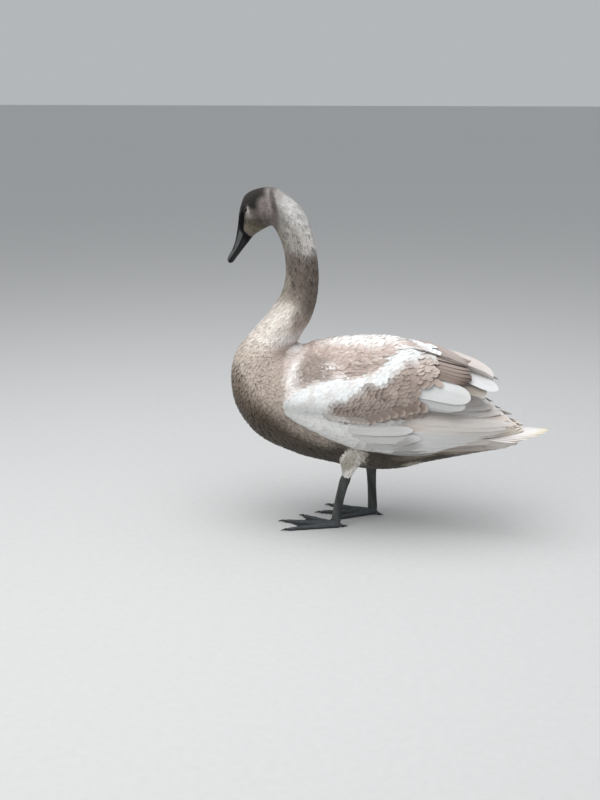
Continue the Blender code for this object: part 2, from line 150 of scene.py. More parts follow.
# ---------------------------------------------------------------- materials
def add_node(
    tree: bpy.types.NodeTree, kind: str, settings: dict | None = None, links: dict | None = None
) -> bpy.types.Node:
    """Adds a node with its settings and its incoming links.

    Args:
        tree: The node tree to add to.
        kind: Blender's name for the node type.
        settings: Properties by name, or input values by socket name or number.
        links: Sockets to link from, by the name or number of the input they feed.

    Returns:
        The new node.
    """
    node = tree.nodes.new(kind)
    for key, value in (settings or {}).items():
        if isinstance(key, str) and hasattr(node, key):
            setattr(node, key, value)
        else:
            node.inputs[key].default_value = value
    for key, socket in (links or {}).items():
        tree.links.new(socket, node.inputs[key])
    return node


@dataclass
class MaterialMaker:
    """A material in the making: a shader, its output and the object's own coordinates."""

    name: str

    def __post_init__(self) -> None:
        """Starts the material with nothing but its shader and output."""
        self.made = bpy.data.materials.new(self.name)
        self.made.use_nodes = True
        self.tree = self.made.node_tree
        self.tree.nodes.clear()
        self.shader = add_node(self.tree, "ShaderNodeBsdfPrincipled")
        add_node(self.tree, "ShaderNodeOutputMaterial", links={"Surface": self.shader.outputs[0]})
        self.place = add_node(self.tree, "ShaderNodeTexCoord").outputs["Object"]

    def markings(self, level: bpy.types.NodeSocket | None = None) -> None:
        """Colours the shader by the markings stored on the mesh.

        Args:
            level: What the colour is multiplied by, or nothing.
        """
        colour = add_node(self.tree, "ShaderNodeVertexColor", {"layer_name": COLOUR_LAYER}).outputs[0]
        if level is not None:
            grey = add_node(self.tree, "ShaderNodeCombineColor", links={i: level for i in range(3)}).outputs[0]
            settings = {"data_type": "RGBA", "blend_type": "MULTIPLY", "Factor": 1.0}
            colour = add_node(self.tree, "ShaderNodeMix", settings, {6: colour, 7: grey}).outputs[2]
        self.feed("Base Color", colour)

    def feed(self, socket: str, source: bpy.types.NodeSocket) -> None:
        """Links a value to the shader."""
        self.tree.links.new(source, self.shader.inputs[socket])

    def finish(self, **constants: float) -> bpy.types.Material:
        """Sets the shader's constants, told by socket names with low lines for spaces.

        Args:
            constants: Values by socket name.

        Returns:
            The material.
        """
        for key, value in constants.items():
            self.shader.inputs[key.replace("_", " ")].default_value = value
        return self.made


RANGES = ("From Min", "From Max", "To Min", "To Max")
MIDDLING = (0.3, 0.7)  # the range in which nearly all of a noise's values lie


@dataclass(frozen=True)
class Plumage:
    """Feather keratin: dull, with a soft silky sheen, and coloured by the markings."""

    name: str
    roughness: float = 0.8  # down and body feathers scatter light; flight quills are smoother
    sheen: float = 0.15
    barb_mm: float = 0.9  # real barbs are 0.3 mm apart, too fine to show, so they are drawn coarser
    barb_depth: float = 0.25
    mottle_mm: float = 2.5
    mottle: float = 0.12
    specular: float = 0.25

    def make(self) -> bpy.types.Material:
        """Builds the material.

        Returns:
            The material.
        """
        maker = MaterialMaker(self.name)
        # Blotches a few millimetres wide break the even colour, as ruffled down does.
        settings = {"Scale": 1 / (self.mottle_mm * MM), "Detail": 2.0}
        blotch = add_node(maker.tree, "ShaderNodeTexNoise", settings, {"Vector": maker.place}).outputs[0]
        settings = dict(zip(RANGES, (*MIDDLING, 1 - self.mottle, 1 + self.mottle)))
        level = add_node(maker.tree, "ShaderNodeMapRange", settings, {"Value": blotch}).outputs[0]
        # Barbs run from the shaft outwards and backwards, so their lines slant across the vane.
        vane = add_node(maker.tree, "ShaderNodeUVMap", {"uv_map": VANE_MAP}).outputs[0]
        barbs = add_node(
            maker.tree,
            "ShaderNodeTexWave",
            {
                "bands_direction": "Y",
                "Scale": 1 / (self.barb_mm * 20) * 3.14,  # a wave is 20 / scale long
                "Distortion": 1.5,
                "Detail": 1.0,
                "Detail Scale": 2.0,
            },
            {"Vector": vane},
        ).outputs[1]
        settings = dict(zip(RANGES, (0.0, 1.0, 1 - self.barb_depth * 0.4, 1.0)))
        line = add_node(maker.tree, "ShaderNodeMapRange", settings, {"Value": barbs}).outputs[0]
        both = add_node(maker.tree, "ShaderNodeMath", {"operation": "MULTIPLY"}, {0: level, 1: line}).outputs[0]
        maker.markings(both)
        settings = {"Strength": self.barb_depth, "Distance": 0.6 * MM}
        maker.feed("Normal", add_node(maker.tree, "ShaderNodeBump", settings, {"Height": barbs}).outputs[0])
        return maker.finish(
            Roughness=self.roughness,
            IOR=1.54,
            Specular_IOR_Level=self.specular,
            Sheen_Weight=self.sheen,
            Sheen_Roughness=0.5,
        )


# ---------------------------------------------------------------- meshes
def mesh_object(
    name: str, points: Array, faces: Array | Sequence, material: bpy.types.Material
) -> bpy.types.Object:
    """A smooth-shaded object that rides on the bird.

    Args:
        name: The piece's name.
        points: Points in metres.
        faces: Point numbers of each face.
        material: The finish.

    Returns:
        The object.
    """
    mesh = bpy.data.meshes.new(name)
    if isinstance(faces, np.ndarray):
        mesh.vertices.add(len(points))
        mesh.vertices.foreach_set("co", np.ascontiguousarray(points, np.float32).ravel())
        mesh.loops.add(faces.size)
        mesh.loops.foreach_set("vertex_index", faces.astype(np.int32).ravel())
        mesh.polygons.add(len(faces))
        mesh.polygons.foreach_set("loop_start", np.arange(0, faces.size, faces.shape[1], dtype=np.int32))
        mesh.update(calc_edges=True)
    else:
        mesh.from_pydata([tuple(p) for p in points], [], [tuple(f) for f in faces])
    mesh.validate()
    mesh.shade_smooth()
    mesh.materials.append(material)
    obj = bpy.data.objects.new(name, mesh)
    bpy.context.scene.collection.objects.link(obj)
    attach(obj, BODY)
    LOG.info("%s: %d points, %d faces", name, len(points), len(faces))
    return obj


def paint(obj: bpy.types.Object, colours: Array) -> None:
    """Stores a linear colour at each point.

    Args:
        obj: The piece.
        colours: A row of red, green and blue for each point.
    """
    layer = obj.data.color_attributes.new(COLOUR_LAYER, "FLOAT_COLOR", "POINT")
    full = np.concatenate([np.clip(colours, 0.0, 1.0), np.ones((len(colours), 1))], 1)
    layer.data.foreach_set("color", full.astype(np.float32).ravel())


def lay_map(obj: bpy.types.Object, name: str, places: Array) -> None:
    """Adds a UV map.

    Args:
        obj: The piece.
        name: The map's name.
        places: A place on the map for each point.
    """
    corner = np.empty(len(obj.data.loops), np.int32)
    obj.data.loops.foreach_get("vertex_index", corner)
    layer = obj.data.uv_layers.new(name=name)
    layer.data.foreach_set("uv", places[corner].astype(np.float32).ravel())


def weld(obj: bpy.types.Object, reach: float) -> None:
    """Joins points that nearly touch, and turns every face outwards.

    Args:
        obj: The piece.
        reach: How close the points are, in metres.
    """
    work = bmesh.new()
    work.from_mesh(obj.data)
    bmesh.ops.remove_doubles(work, verts=work.verts, dist=reach)
    bmesh.ops.recalc_face_normals(work, faces=work.faces)
    work.to_mesh(obj.data)
    work.free()
    obj.data.shade_smooth()


def tube_faces(rings: int, sides: int, flip: bool = False) -> list[tuple[int, ...]]:
    """Four-sided faces between closed rings of points.

    Args:
        rings: How many rings.
        sides: Points in each ring.
        flip: Turns the faces the other way round.

    Returns:
        Point numbers of each face.
    """
    number = np.arange(rings * sides).reshape(rings, sides)
    beside = np.roll(number, -1, axis=1)
    corners = [number[:-1], beside[:-1], beside[1:], number[1:]]
    if flip:
        corners = [corners[0], *corners[:0:-1]]
    return [tuple(q) for q in np.stack(corners, -1).reshape(-1, 4).tolist()]


def grid(first: Array, second: Array) -> tuple[Array, Array]:
    """Two values spread over a grid of rows and columns."""
    return tuple(np.meshgrid(first, second, indexing="ij"))


def ring_angles(sides: int) -> Array:
    """Angles of the points of a closed ring."""
    return np.linspace(0, FULL_TURN, sides + 1)[:-1]


# ---------------------------------------------------------------- the body's shape
@dataclass(frozen=True)
class Section:
    """One section across the body, in millimetres.

    Attributes:
        back: Its point on the back line, y and z.
        belly: Its point on the belly line, y and z.
        width: Half its width.
        sink: How far its widest place sinks towards the belly.
    """

    back: tuple[float, float]
    belly: tuple[float, float]
    width: float
    sink: float = 0.0


class Surface:
    """A curved surface read by two numbers: how far along the bird, and how far round it.

    Each kind of surface says in steps how small a step along and around tells its slope.
    """

    steps: tuple[float, float]

    def base(self, along: Array, around: Array) -> Array:
        """Points of the surface in metres."""
        raise NotImplementedError

    def outward(self, along: Array, around: Array) -> Array:
        """Unit normals, pointing out of the bird."""
        raise NotImplementedError

    def unwrap(self, along: Array, around: Array) -> Array:
        """Places on the bake map."""
        raise NotImplementedError

    def slopes_cross(self, along: Array, around: Array, da: float, dr: float) -> Array:
        """The way square to the surface, told by steps along and around.

        Args:
            along: Places along the bird.
            around: Places round the bird.
            da: Step along.
            dr: Step around.

        Returns:
            Unit vectors, from the tail's way towards larger around.
        """
        tail_way = self.base(along + da, around) - self.base(along - da, around)
        round_way = self.base(along, around + dr) - self.base(along, around - dr)
        return unit(np.cross(tail_way, round_way))

    def walk(self, along: Array, around: Array, heading: Array, length: Array) -> tuple[Array, Array]:
        """Where a walk over the surface ends.

        Args:
            along: Start, along the bird.
            around: Start, round the bird.
            heading: Angle from the way to the tail towards larger around, in radians.
            length: How far, in metres.

        Returns:
            The end, as along and around.
        """
        step_a, step_r = self.steps
        here = self.base(along, around)
        pace_a = np.linalg.norm(self.base(along + step_a, around) - here, axis=-1) / step_a
        pace_r = np.linalg.norm(self.base(along, around + step_r) - here, axis=-1) / step_r
        return (
            along + np.cos(heading) * length / np.maximum(pace_a, 1e-5),
            around + np.sin(heading) * length / np.maximum(pace_r, 1e-5),
        )


BILL = (
    Section((-384.5, 622.0), (-378.5, 615.5), 4.0),
    Section((-382.5, 629.0), (-372.0, 618.0), 12.5),
    Section((-377.5, 639.5), (-364.5, 627.5), 16.0),
    Section((-370.5, 651.0), (-356.5, 637.5), 15.5, 0.05),
    Section((-363.5, 670.5), (-344.5, 652.5), 14.5, 0.1),
    Section((-359.0, 693.0), (-332.0, 667.5), 16.5, 0.15),
    Section((-356.0, 713.0), (-323.0, 679.0), 19.5, 0.15),
)
HEAD = (
    Section((-354.0, 732.0), (-316.5, 685.0), 23.5, 0.12),
    Section((-349.0, 752.5), (-307.0, 691.5), 27.5, 0.12),
    Section((-337.0, 777.0), (-295.0, 698.5), 32.0, 0.1),
    Section((-306.0, 791.5), (-281.0, 705.5), 35.0, 0.08),
    Section((-266.0, 793.5), (-270.5, 706.0), 36.5, 0.05),
)
NECK = (
    Section((-218.0, 761.0), (-260.0, 691.0), 35.5),
    Section((-190.0, 724.0), (-250.0, 670.0), 35.0),
    Section((-171.0, 663.0), (-242.0, 640.0), 35.0),
    Section((-163.0, 600.0), (-239.5, 598.0), 36.5),
    Section((-166.0, 545.0), (-248.0, 558.0), 40.0),
    Section((-180.0, 495.0), (-276.0, 513.0), 47.0),
    Section((-203.0, 455.0), (-318.0, 463.0), 60.0),
)
TRUNK = (
    Section((-216.0, 430.0), (-359.0, 411.0), 74.0),
    Section((-218.0, 424.0), (-371.0, 348.0), 86.0, 0.03),
    Section((-213.0, 424.0), (-357.0, 277.0), 96.0, 0.06),
    Section((-198.0, 430.0), (-305.0, 211.0), 104.0, 0.08),
    Section((-165.0, 442.0), (-215.0, 170.0), 110.0, 0.1),
    Section((-110.0, 453.0), (-120.0, 150.0), 114.0, 0.1),
    Section((-40.0, 459.0), (-40.0, 139.0), 115.0, 0.1),
    Section((30.0, 456.0), (35.0, 143.0), 108.0, 0.08),
    Section((95.0, 424.0), (95.0, 160.0), 92.0, 0.05),
    Section((160.0, 374.0), (160.0, 176.0), 73.0),
    Section((225.0, 322.0), (225.0, 191.0), 53.0),
    Section((285.0, 274.0), (285.0, 206.0), 36.0),
    Section((316.0, 250.0), (314.0, 222.0), 22.0),
)
HEAD_TURN = 6.0  # degrees that the head looks to the bird's right
TURN_SECTIONS = 5  # sections of the neck over which the turn dies away
TURN_PIVOT = NECK[3].back[0]  # y of the upright line that the head turns about


class BodySurface(Surface):
    """The loft from the bill to the tail root: along in millimetres, around in radians from the back."""

    steps = (1.0, 0.02)

    def __init__(self) -> None:
        """Measures the way from section to section and how fast each size changes there."""
        sections = BILL + HEAD + NECK + TRUNK
        self.rows = np.array([(*s.back, *s.belly, s.width, s.sink) for s in sections])
        ends = np.diff(self.rows, axis=0)
        gaps = (np.hypot(ends[:, 0], ends[:, 1]) + np.hypot(ends[:, 2], ends[:, 3])) / 2
        self.places = np.concatenate([[0.0], np.cumsum(gaps)])
        reach = self.places[np.minimum(np.arange(len(self.places)) + 1, len(self.places) - 1)]
        before = self.places[np.maximum(np.arange(len(self.places)) - 1, 0)]
        rises = np.concatenate([self.rows[1:], self.rows[-1:]]) - np.concatenate([self.rows[:1], self.rows[:-1]])
        self.slopes = rises / (reach - before)[:, None]
        self.neck_top = len(BILL) + len(HEAD)

    def place(self, index: float) -> float:
        """The distance along the loft of a section number, which may be a fraction."""
        return float(np.interp(index, np.arange(len(self.places)), self.places))

    def index(self, along: Array) -> Array:
        """The section number at a distance along the loft."""
        return np.interp(along, self.places, np.arange(len(self.places)))

    def flat(self, along: Array, around: Array) -> Array:
        """The surface before the head turns.

        Args:
            along: Distances along the loft in millimetres.
            around: Radians from the back line.

        Returns:
            Points in metres.
        """
        along = np.asarray(along, float)
        k = np.clip(np.searchsorted(self.places, along, side="right") - 1, 0, len(self.places) - 2)
        span = self.places[k + 1] - self.places[k]
        u = ((along - self.places[k]) / span)[..., None]
        span = span[..., None]
        # Each size runs from section to section on a smooth cubic.
        row = (
            (2 * u**3 - 3 * u**2 + 1) * self.rows[k]
            + (u**3 - 2 * u**2 + u) * self.slopes[k] * span
            + (3 * u**2 - 2 * u**3) * self.rows[k + 1]
            + (u**3 - u**2) * self.slopes[k + 1] * span
        )
        up, out = np.cos(around), np.sin(around)
        y = (row[..., 0] + row[..., 2]) / 2 + (row[..., 0] - row[..., 2]) / 2 * up
        z = (row[..., 1] + row[..., 3]) / 2 + (row[..., 1] - row[..., 3]) / 2 * up
        x = row[..., 4] * out * (1 - row[..., 5] * up)
        return np.stack([x, y, z], -1) * MM

    def turn_share(self, along: Array) -> Array:
        """How much of the head's turn a place takes."""
        start, end = self.places[self.neck_top], self.places[self.neck_top + TURN_SECTIONS]
        return smooth(0.0, 1.0, (end - np.asarray(along, float)) / (end - start))

    def turn(self, points: Array, share: Array) -> Array:
        """Turns points about the upright line through the nape.

        Args:
            points: Points in metres.
            share: How much of the turn each takes.

        Returns:
            The turned points.
        """
        angle = np.radians(-HEAD_TURN) * np.asarray(share)
        pivot = TURN_PIVOT * MM
        x, y = points[..., 0], points[..., 1] - pivot
        turned_x, turned_y = x * np.cos(angle) - y * np.sin(angle), x * np.sin(angle) + y * np.cos(angle)
        return np.stack([turned_x, turned_y + pivot, points[..., 2]], -1)

    def with_head(self, point: Sequence[float]) -> Array:
        """A point in millimetres, turned with the head and brought to metres."""
        return self.turn(np.array(point, float) * MM, np.array(1.0))

    def head_way(self, way: Sequence[float]) -> Array:
        """A direction turned with the head."""
        return self.with_head(way) - self.with_head((0.0, 0.0, 0.0))

    def base(self, along: Array, around: Array) -> Array:
        """Points of the surface in metres."""
        return self.turn(self.flat(along, around), self.turn_share(along))

    def outward(self, along: Array, around: Array) -> Array:
        """Unit normals, pointing out of the bird."""
        return -self.slopes_cross(along, around, *self.steps)

    def unwrap(self, along: Array, around: Array) -> Array:
        """Places on the bake map: the body cut along the belly and laid flat."""
        share = (np.asarray(around) / FULL_TURN + 0.5) % 1.0
        return 0.01 + 0.98 * np.stack([share, np.clip(np.asarray(along) / self.places[-1], 0, 1)], -1)


# The axis inside the trunk is level at the front and sinks from its bend to its end.
AXIS_FRONT, AXIS_BACK, AXIS_BEND, AXIS_END = 298.0, 236.0, 20.0, 316.0


def axis_height(y: Array) -> Array:
    """Height in millimetres of the line inside the trunk about which the wings' angles are told."""
    share = np.clip((y - AXIS_BEND) / (AXIS_END - AXIS_BEND), 0.0, 1.0)
    return AXIS_FRONT + (AXIS_BACK - AXIS_FRONT) * share


class WingSurface(Surface):
    """The outside of one layer of a folded wing: along is y in millimetres, around is degrees above level."""

    steps = (1.0, 0.5)
    WIDE_STEPS = (6.0, 4.0)
    LOW_Y, HIGH_Y, STEP_Y = -236.0, 336.0, 4.0
    LOW_A, HIGH_A, STEP_A = -80.0, 104.0, 2.0
    FAR = 300.0  # rays towards the axis start this far out, in millimetres
    NOTHING = 20.0  # radius where a whole row of rays meets nothing

    def __init__(self, tree: BVHTree, side: Side, blur: int) -> None:
        """Reads the radius of the layer from its solids.

        Args:
            tree: The layer's solids on the left side.
            side: The side that the surface is for, a mirror of the left.
            blur: How many times the radii are evened out.
        """
        self.side = side
        ys = np.arange(self.LOW_Y, self.HIGH_Y + 1, self.STEP_Y)
        angles = np.arange(self.LOW_A, self.HIGH_A + 1, self.STEP_A)
        self.radius = np.full((len(ys), len(angles)), np.nan)
        for i, y in enumerate(ys):
            middle = Vector((0.0, y, float(axis_height(y)))) * MM
            for j, angle in enumerate(np.radians(angles)):
                way = Vector((math.cos(angle), 0.0, math.sin(angle)))
                hit = tree.ray_cast(middle + way * self.FAR * MM, -way, self.FAR * MM)
                if hit[0] is not None:
                    self.radius[i, j] = self.FAR - hit[3] / MM
        for j in range(len(angles)):
            column = self.radius[:, j]
            known = ~np.isnan(column)
            if known.any():
                column[~known] = np.interp(ys[~known], ys[known], column[known])
            else:
                column[:] = self.NOTHING
        for _ in range(blur):
            for axis in (0, 1):
                wide = np.concatenate([self.radius.take([0], axis), self.radius, self.radius.take([-1], axis)], axis)
                low, high = (wide[:-2], wide[2:]) if axis == 0 else (wide[:, :-2], wide[:, 2:])
                self.radius = (low + 2 * self.radius + high) / 4

    def reach(self, y: Array, angle: Array) -> Array:
        """How far the surface stands from the axis.

        Args:
            y: Stations along the bird in millimetres.
            angle: Degrees above level.

        Returns:
            Distances in millimetres.
        """
        i = np.clip((np.asarray(y, float) - self.LOW_Y) / self.STEP_Y, 0, self.radius.shape[0] - 1.001)
        j = np.clip((np.asarray(angle, float) - self.LOW_A) / self.STEP_A, 0, self.radius.shape[1] - 1.001)
        a, b = i.astype(int), j.astype(int)
        u, v = i - a, j - b
        r = self.radius
        return (r[a, b] * (1 - v) + r[a, b + 1] * v) * (1 - u) + (r[a + 1, b] * (1 - v) + r[a + 1, b + 1] * v) * u

    def base(self, along: Array, around: Array) -> Array:
        """Points of the surface in metres."""
        radius, (x, z) = self.reach(along, around), (np.cos(np.radians(around)), np.sin(np.radians(around)))
        return np.stack([self.side.value * radius * x, along + 0 * radius, axis_height(along) + radius * z], -1) * MM

    def outward(self, along: Array, around: Array) -> Array:
        """Unit normals, read wide so that small steps in the solids don't ruffle the feathers."""
        return self.slopes_cross(along, around, *self.WIDE_STEPS) * self.side.value

    def unwrap(self, along: Array, around: Array) -> Array:
        """Places on the bake map: the wing's side laid flat."""
        low, high = np.array([self.LOW_Y, self.LOW_A]), np.array([self.HIGH_Y, self.HIGH_A])
        return np.clip((np.stack([along, around], -1) - low) / (high - low), 0.005, 0.995)

    def locate(self, points: Array) -> tuple[Array, Array]:
        """Where points lie on the wing.

        Args:
            points: Points in metres.

        Returns:
            Their along and around.
        """
        x, y = points[..., 0] / MM * self.side.value, points[..., 1] / MM
        return y, np.degrees(np.arctan2(points[..., 2] / MM - axis_height(y), x))


# ---------------------------------------------------------------- feathers
class Form(Enum):
    """The outlines of feathers: pairs of a share of the length from the root and the half width there."""

    DOWN = ((0.0, 0.45), (0.5, 1.0), (1.0, 0.0))
    TUFT = ((0.0, 0.4), (0.36, 1.0), (0.76, 0.74), (1.0, 0.0))
    CONTOUR = ((0.0, 0.45), (0.34, 0.95), (0.66, 1.0), (0.88, 0.68), (1.0, 0.0))
    COVERT = ((0.0, 0.5), (0.28, 0.9), (0.55, 1.0), (0.78, 0.95), (0.91, 0.74), (0.98, 0.38), (1.0, 0.0))
    QUILL = (
        (0.0, 0.5), (0.12, 0.8), (0.3, 0.95), (0.5, 1.0), (0.68, 1.0),
        (0.8, 0.94), (0.89, 0.8), (0.95, 0.6), (0.99, 0.3), (1.0, 0.0),
    )
    TERTIAL = (
        (0.0, 0.5), (0.14, 0.8), (0.32, 0.96), (0.52, 1.0), (0.7, 1.0),
        (0.82, 0.93), (0.91, 0.76), (0.965, 0.52), (0.992, 0.26), (1.0, 0.0),
    )

    @property
    def stops(self) -> Array:
        """Where each half width stands, from 0 at the root to 1 at the tip."""
        return np.array([pair[0] for pair in self.value])

    @property
    def halves(self) -> Array:
        """Half widths, as shares of the widest."""
        return np.array([pair[1] for pair in self.value])

    @property
    def across(self) -> Array:
        """Places across the upper face of a row, from -1 to 1: the larger feathers have more."""
        detail = len(self.value)
        return np.linspace(-1, 1, 3 if detail < 6 else 5 if detail < 8 else 7)


@dataclass
class Batch:
    """Many feathers of one form, told by arrays with one row each.

    Attributes:
        surface: What they lie on.
        root: Roots, as along and around.
        tip: Tips, as along and around.
        width: Widest widths in metres.
        low: Heights of the roots over the surface in metres.
        high: Heights of the tips.
        tint: Linear colours of the body of each vane.
        edge: Linear colours of the fringe at the tip.
        form: The outline.
        thick: Thickness in metres.
        tilt: How far the edge at the larger around stands higher than the other, in metres.
        cup: How far the edges droop below the shaft, as a share of the half width.
        bow: How far the tip curls down (below zero) or up.
        fringe: Width of the fringe as a share of the length.
        shade: How dark the covered root is, as a share.
        dark: How much darker the line of the shaft is.
        straight: Whether the shaft crosses the surface in one line instead of following its curve.
    """

    surface: Surface
    root: tuple[Array, Array]
    tip: tuple[Array, Array]
    width: Array
    low: Array | float
    high: Array | float
    tint: Array
    edge: Array
    form: Form = Form.TUFT
    thick: Array | float = 0.0005
    tilt: Array | float = 0.0
    cup: float = 0.12
    bow: Array | float = 0.0
    fringe: float = 0.25
    shade: float = 0.25
    dark: float = 0.0
    straight: bool = False


def column(value: Array | float, count: int) -> Array:
    """A value for each feather as a column."""
    return np.broadcast_to(np.asarray(value, float), (count,))[:, None]


CELL_COLUMNS, CELL_ROWS = 24, 4  # cells of the bake map for quills that get one each
BARB_SLANT = 0.6  # how far a barb runs back for each step away from the shaft


class FeatherMesh:
    """Gathers batches of feathers into one mesh."""

    def __init__(self, name: str) -> None:
        """Starts a piece with no feathers.

        Args:
            name: The piece's name.
        """
        self.name = name
        self.points: list[Array] = []
        self.faces: list[Array] = []
        self.colours: list[Array] = []
        self.bake: list[Array] = []
        self.vane: list[Array] = []
        self.count = 0
        self.cells = 0

    def spine(self, batch: Batch, stops: Array) -> tuple[Array, Array, Array]:
        """The middle line of each feather.

        Args:
            batch: The feathers.
            stops: Shares of the length.

        Returns:
            Points, the ways across and the normals, each with a row per feather and a column per stop.
        """
        surface, count = batch.surface, len(batch.width)
        (ra, rr), (ta, tr) = batch.root, batch.tip
        low, high = column(batch.low, count), column(batch.high, count)
        ends = []
        for share in (0.0, 0.5, 1.0):
            along, around = ra + (ta - ra) * share, rr + (tr - rr) * share
            if batch.straight and share == 0.5:
                along, around = surface.locate((ends[0][0] + surface.base(ta, tr)) / 2)
            normal = surface.outward(along, around)
            height = low + (high - low) * (share if share else 0.0)
            ends.append((surface.base(along, around) + normal * height, normal))
        (p0, n0), (p1, n1), (p2, n2) = ends
        t = stops[None, :, None]
        # The line through the three places, as a stiff shaft bends evenly.
        a, b, c = 2 * (t - 0.5) * (t - 1), 4 * t * (1 - t), 2 * t * (t - 0.5)
        points = p0[:, None] * a + p1[:, None] * b + p2[:, None] * c
        normals = unit(n0[:, None] * a + n1[:, None] * b + n2[:, None] * c)
        way = p0[:, None] * (4 * t - 3) + p1[:, None] * (4 - 8 * t) + p2[:, None] * (4 * t - 1)
        across = unit(np.cross(normals, unit(way)))
        return points + normals * column(batch.bow, count)[..., None] * t**2.5, across, normals

    def add(self, batch: Batch, own_cells: bool = False) -> None:
        """Adds a batch.

        Args:
            batch: The feathers.
            own_cells: Whether each gets a large cell of the bake map of its own, as a big quill does.
        """
        count = len(batch.width)
        if not count:
            return
        stops, across = batch.form.stops, batch.form.across
        middle, sideways, normals = self.spine(batch, stops)
        half = column(batch.width, count) / 2 * batch.form.halves[None]
        points = self.vane_points(batch, middle, sideways, normals, half)
        rows, size = len(stops) - 1, len(across) + 1
        # Across and along each vane, and which points are on its lower face.
        u = np.concatenate([np.tile([*across, 0.0], rows), [0.0]])
        v = np.concatenate([np.repeat(stops[:-1], size), [1.0]])
        below = np.concatenate([np.tile([0.0] * (size - 1) + [1.0], rows), [0.0]])
        if own_cells:
            places = self.cell_places(count, u, v)
        else:
            seat = batch.surface.unwrap(*batch.root)
            places = seat[:, None] + np.stack([u * 0.5, v - 0.5], -1)[None] * TUFT_PATCH
        length = np.linalg.norm(middle[:, -1] - middle[:, 0], axis=-1)[:, None] / MM
        from_shaft = np.abs(u)[None] * half.max(1, keepdims=True) / MM
        vane = np.stack([from_shaft, v[None] * length - BARB_SLANT * from_shaft], -1)
        starts = (np.arange(count) * points.shape[1])[:, None, None] + self.count
        self.points.append(points.reshape(-1, 3))
        self.faces.append((self.vane_faces(rows, size)[None] + starts).reshape(-1, 3))
        self.colours.append(self.vane_colours(batch, u, v, below).reshape(-1, 3))
        self.bake.append(np.clip(places, 0.001, 0.999).reshape(-1, 2))
        self.vane.append(vane.reshape(-1, 2))
        self.count += count * points.shape[1]

    @staticmethod
    def vane_points(batch: Batch, middle: Array, sideways: Array, normals: Array, half: Array) -> Array:
        """Points of each vane: rows of upper points and one lower point, then the tip.

        Args:
            batch: The feathers.
            middle: The middle lines.
            sideways: The ways across.
            normals: The ways out of the bird.
            half: Half widths at each stop, in metres.

        Returns:
            Points, with a row per feather.
        """
        count, stops = len(middle), batch.form.stops
        thick, tilt = column(batch.thick, count), column(batch.tilt, count)
        taper = np.minimum(1.0, (1 - stops) * 3)[None]
        upper = []
        for b in batch.form.across:
            rise = tilt * b * np.minimum(1, stops * 2)[None] - batch.cup * half * b * b + thick * (1 - abs(b)) * taper
            upper.append(middle + sideways * (half * b)[..., None] + normals * rise[..., None])
        under = middle - normals * (thick * 0.6 * taper + batch.cup * half * 0.3)[..., None]
        ring = np.stack([*upper, under], 2)[:, :-1]
        return np.concatenate([ring.reshape(count, -1, 3), middle[:, -1:]], 1)

    @staticmethod
    def vane_faces(rows: int, size: int) -> Array:
        """Triangles of one vane.

        Args:
            rows: Rows of points before the tip.
            size: Points in a row.

        Returns:
            Point numbers of each triangle.
        """
        faces = []
        for r in range(rows - 1):
            for k in range(size):
                p, q = r * size + k, r * size + (k + 1) % size
                faces += [(p, q, q + size), (p, q + size, p + size)]
        last = (rows - 1) * size
        faces += [(last + k, last + (k + 1) % size, rows * size) for k in range(size)]
        faces += [(0, k + 1, k) for k in range(1, size - 1)]
        return np.array(faces)[:, ::-1]

    @staticmethod
    def vane_colours(batch: Batch, u: Array, v: Array, below: Array) -> Array:
        """Colours of each vane: a fringe towards the tip and outer edges, and painted shade on the covered root and the
        lower face.

        Args:
            batch: The feathers.
            u: Places across.
            v: Places along.
            below: 1 on the lower face.

        Returns:
            Linear colours, with a row per feather.
        """
        count = len(batch.width)
        rim = smooth(1 - batch.fringe, 1.0, v + 0.35 * batch.fringe * np.abs(u) ** 2)
        colour = mix(batch.tint[:, None], batch.edge[:, None], np.broadcast_to(rim, (count, len(rim))))
        shaft = batch.dark * (1 - np.minimum(1, np.abs(u) * 3)) * (v < 0.95)
        shaded = 1 - batch.shade * (1 - smooth(0.0, 0.6, v)) - shaft
        # Painted shade: the lower face is a quarter darker than the upper.
        return colour * np.clip(shaded * (1 - 0.25 * below), 0, 1)[None, :, None]

    def cell_places(self, count: int, u: Array, v: Array) -> Array:
        """Bake places of big quills, each in a strip of its own.

        Args:
            count: How many quills.
            u: Places across.
            v: Places along.

        Returns:
            Places, with a row per quill.
        """
        index = np.arange(self.cells, self.cells + count)
        self.cells += count
        x = (index % CELL_COLUMNS)[:, None] / CELL_COLUMNS + (0.5 + 0.42 * u[None]) / CELL_COLUMNS
        y = (index // CELL_COLUMNS % CELL_ROWS)[:, None] / CELL_ROWS + (0.04 + 0.92 * v[None]) / CELL_ROWS
        return np.stack([x, y], -1)

    def build(self, material: bpy.types.Material) -> bpy.types.Object:
        """Makes the object and sets it riding.

        Args:
            material: The finish.

        Returns:
            The feathers.
        """
        obj = mesh_object(self.name, np.concatenate(self.points), np.concatenate(self.faces), material)
        paint(obj, np.concatenate(self.colours))
        lay_map(obj, BAKE_MAP, np.concatenate(self.bake))
        lay_map(obj, VANE_MAP, np.concatenate(self.vane))
        obj.data.set_sharp_from_angle(angle=math.radians(65))
        return obj


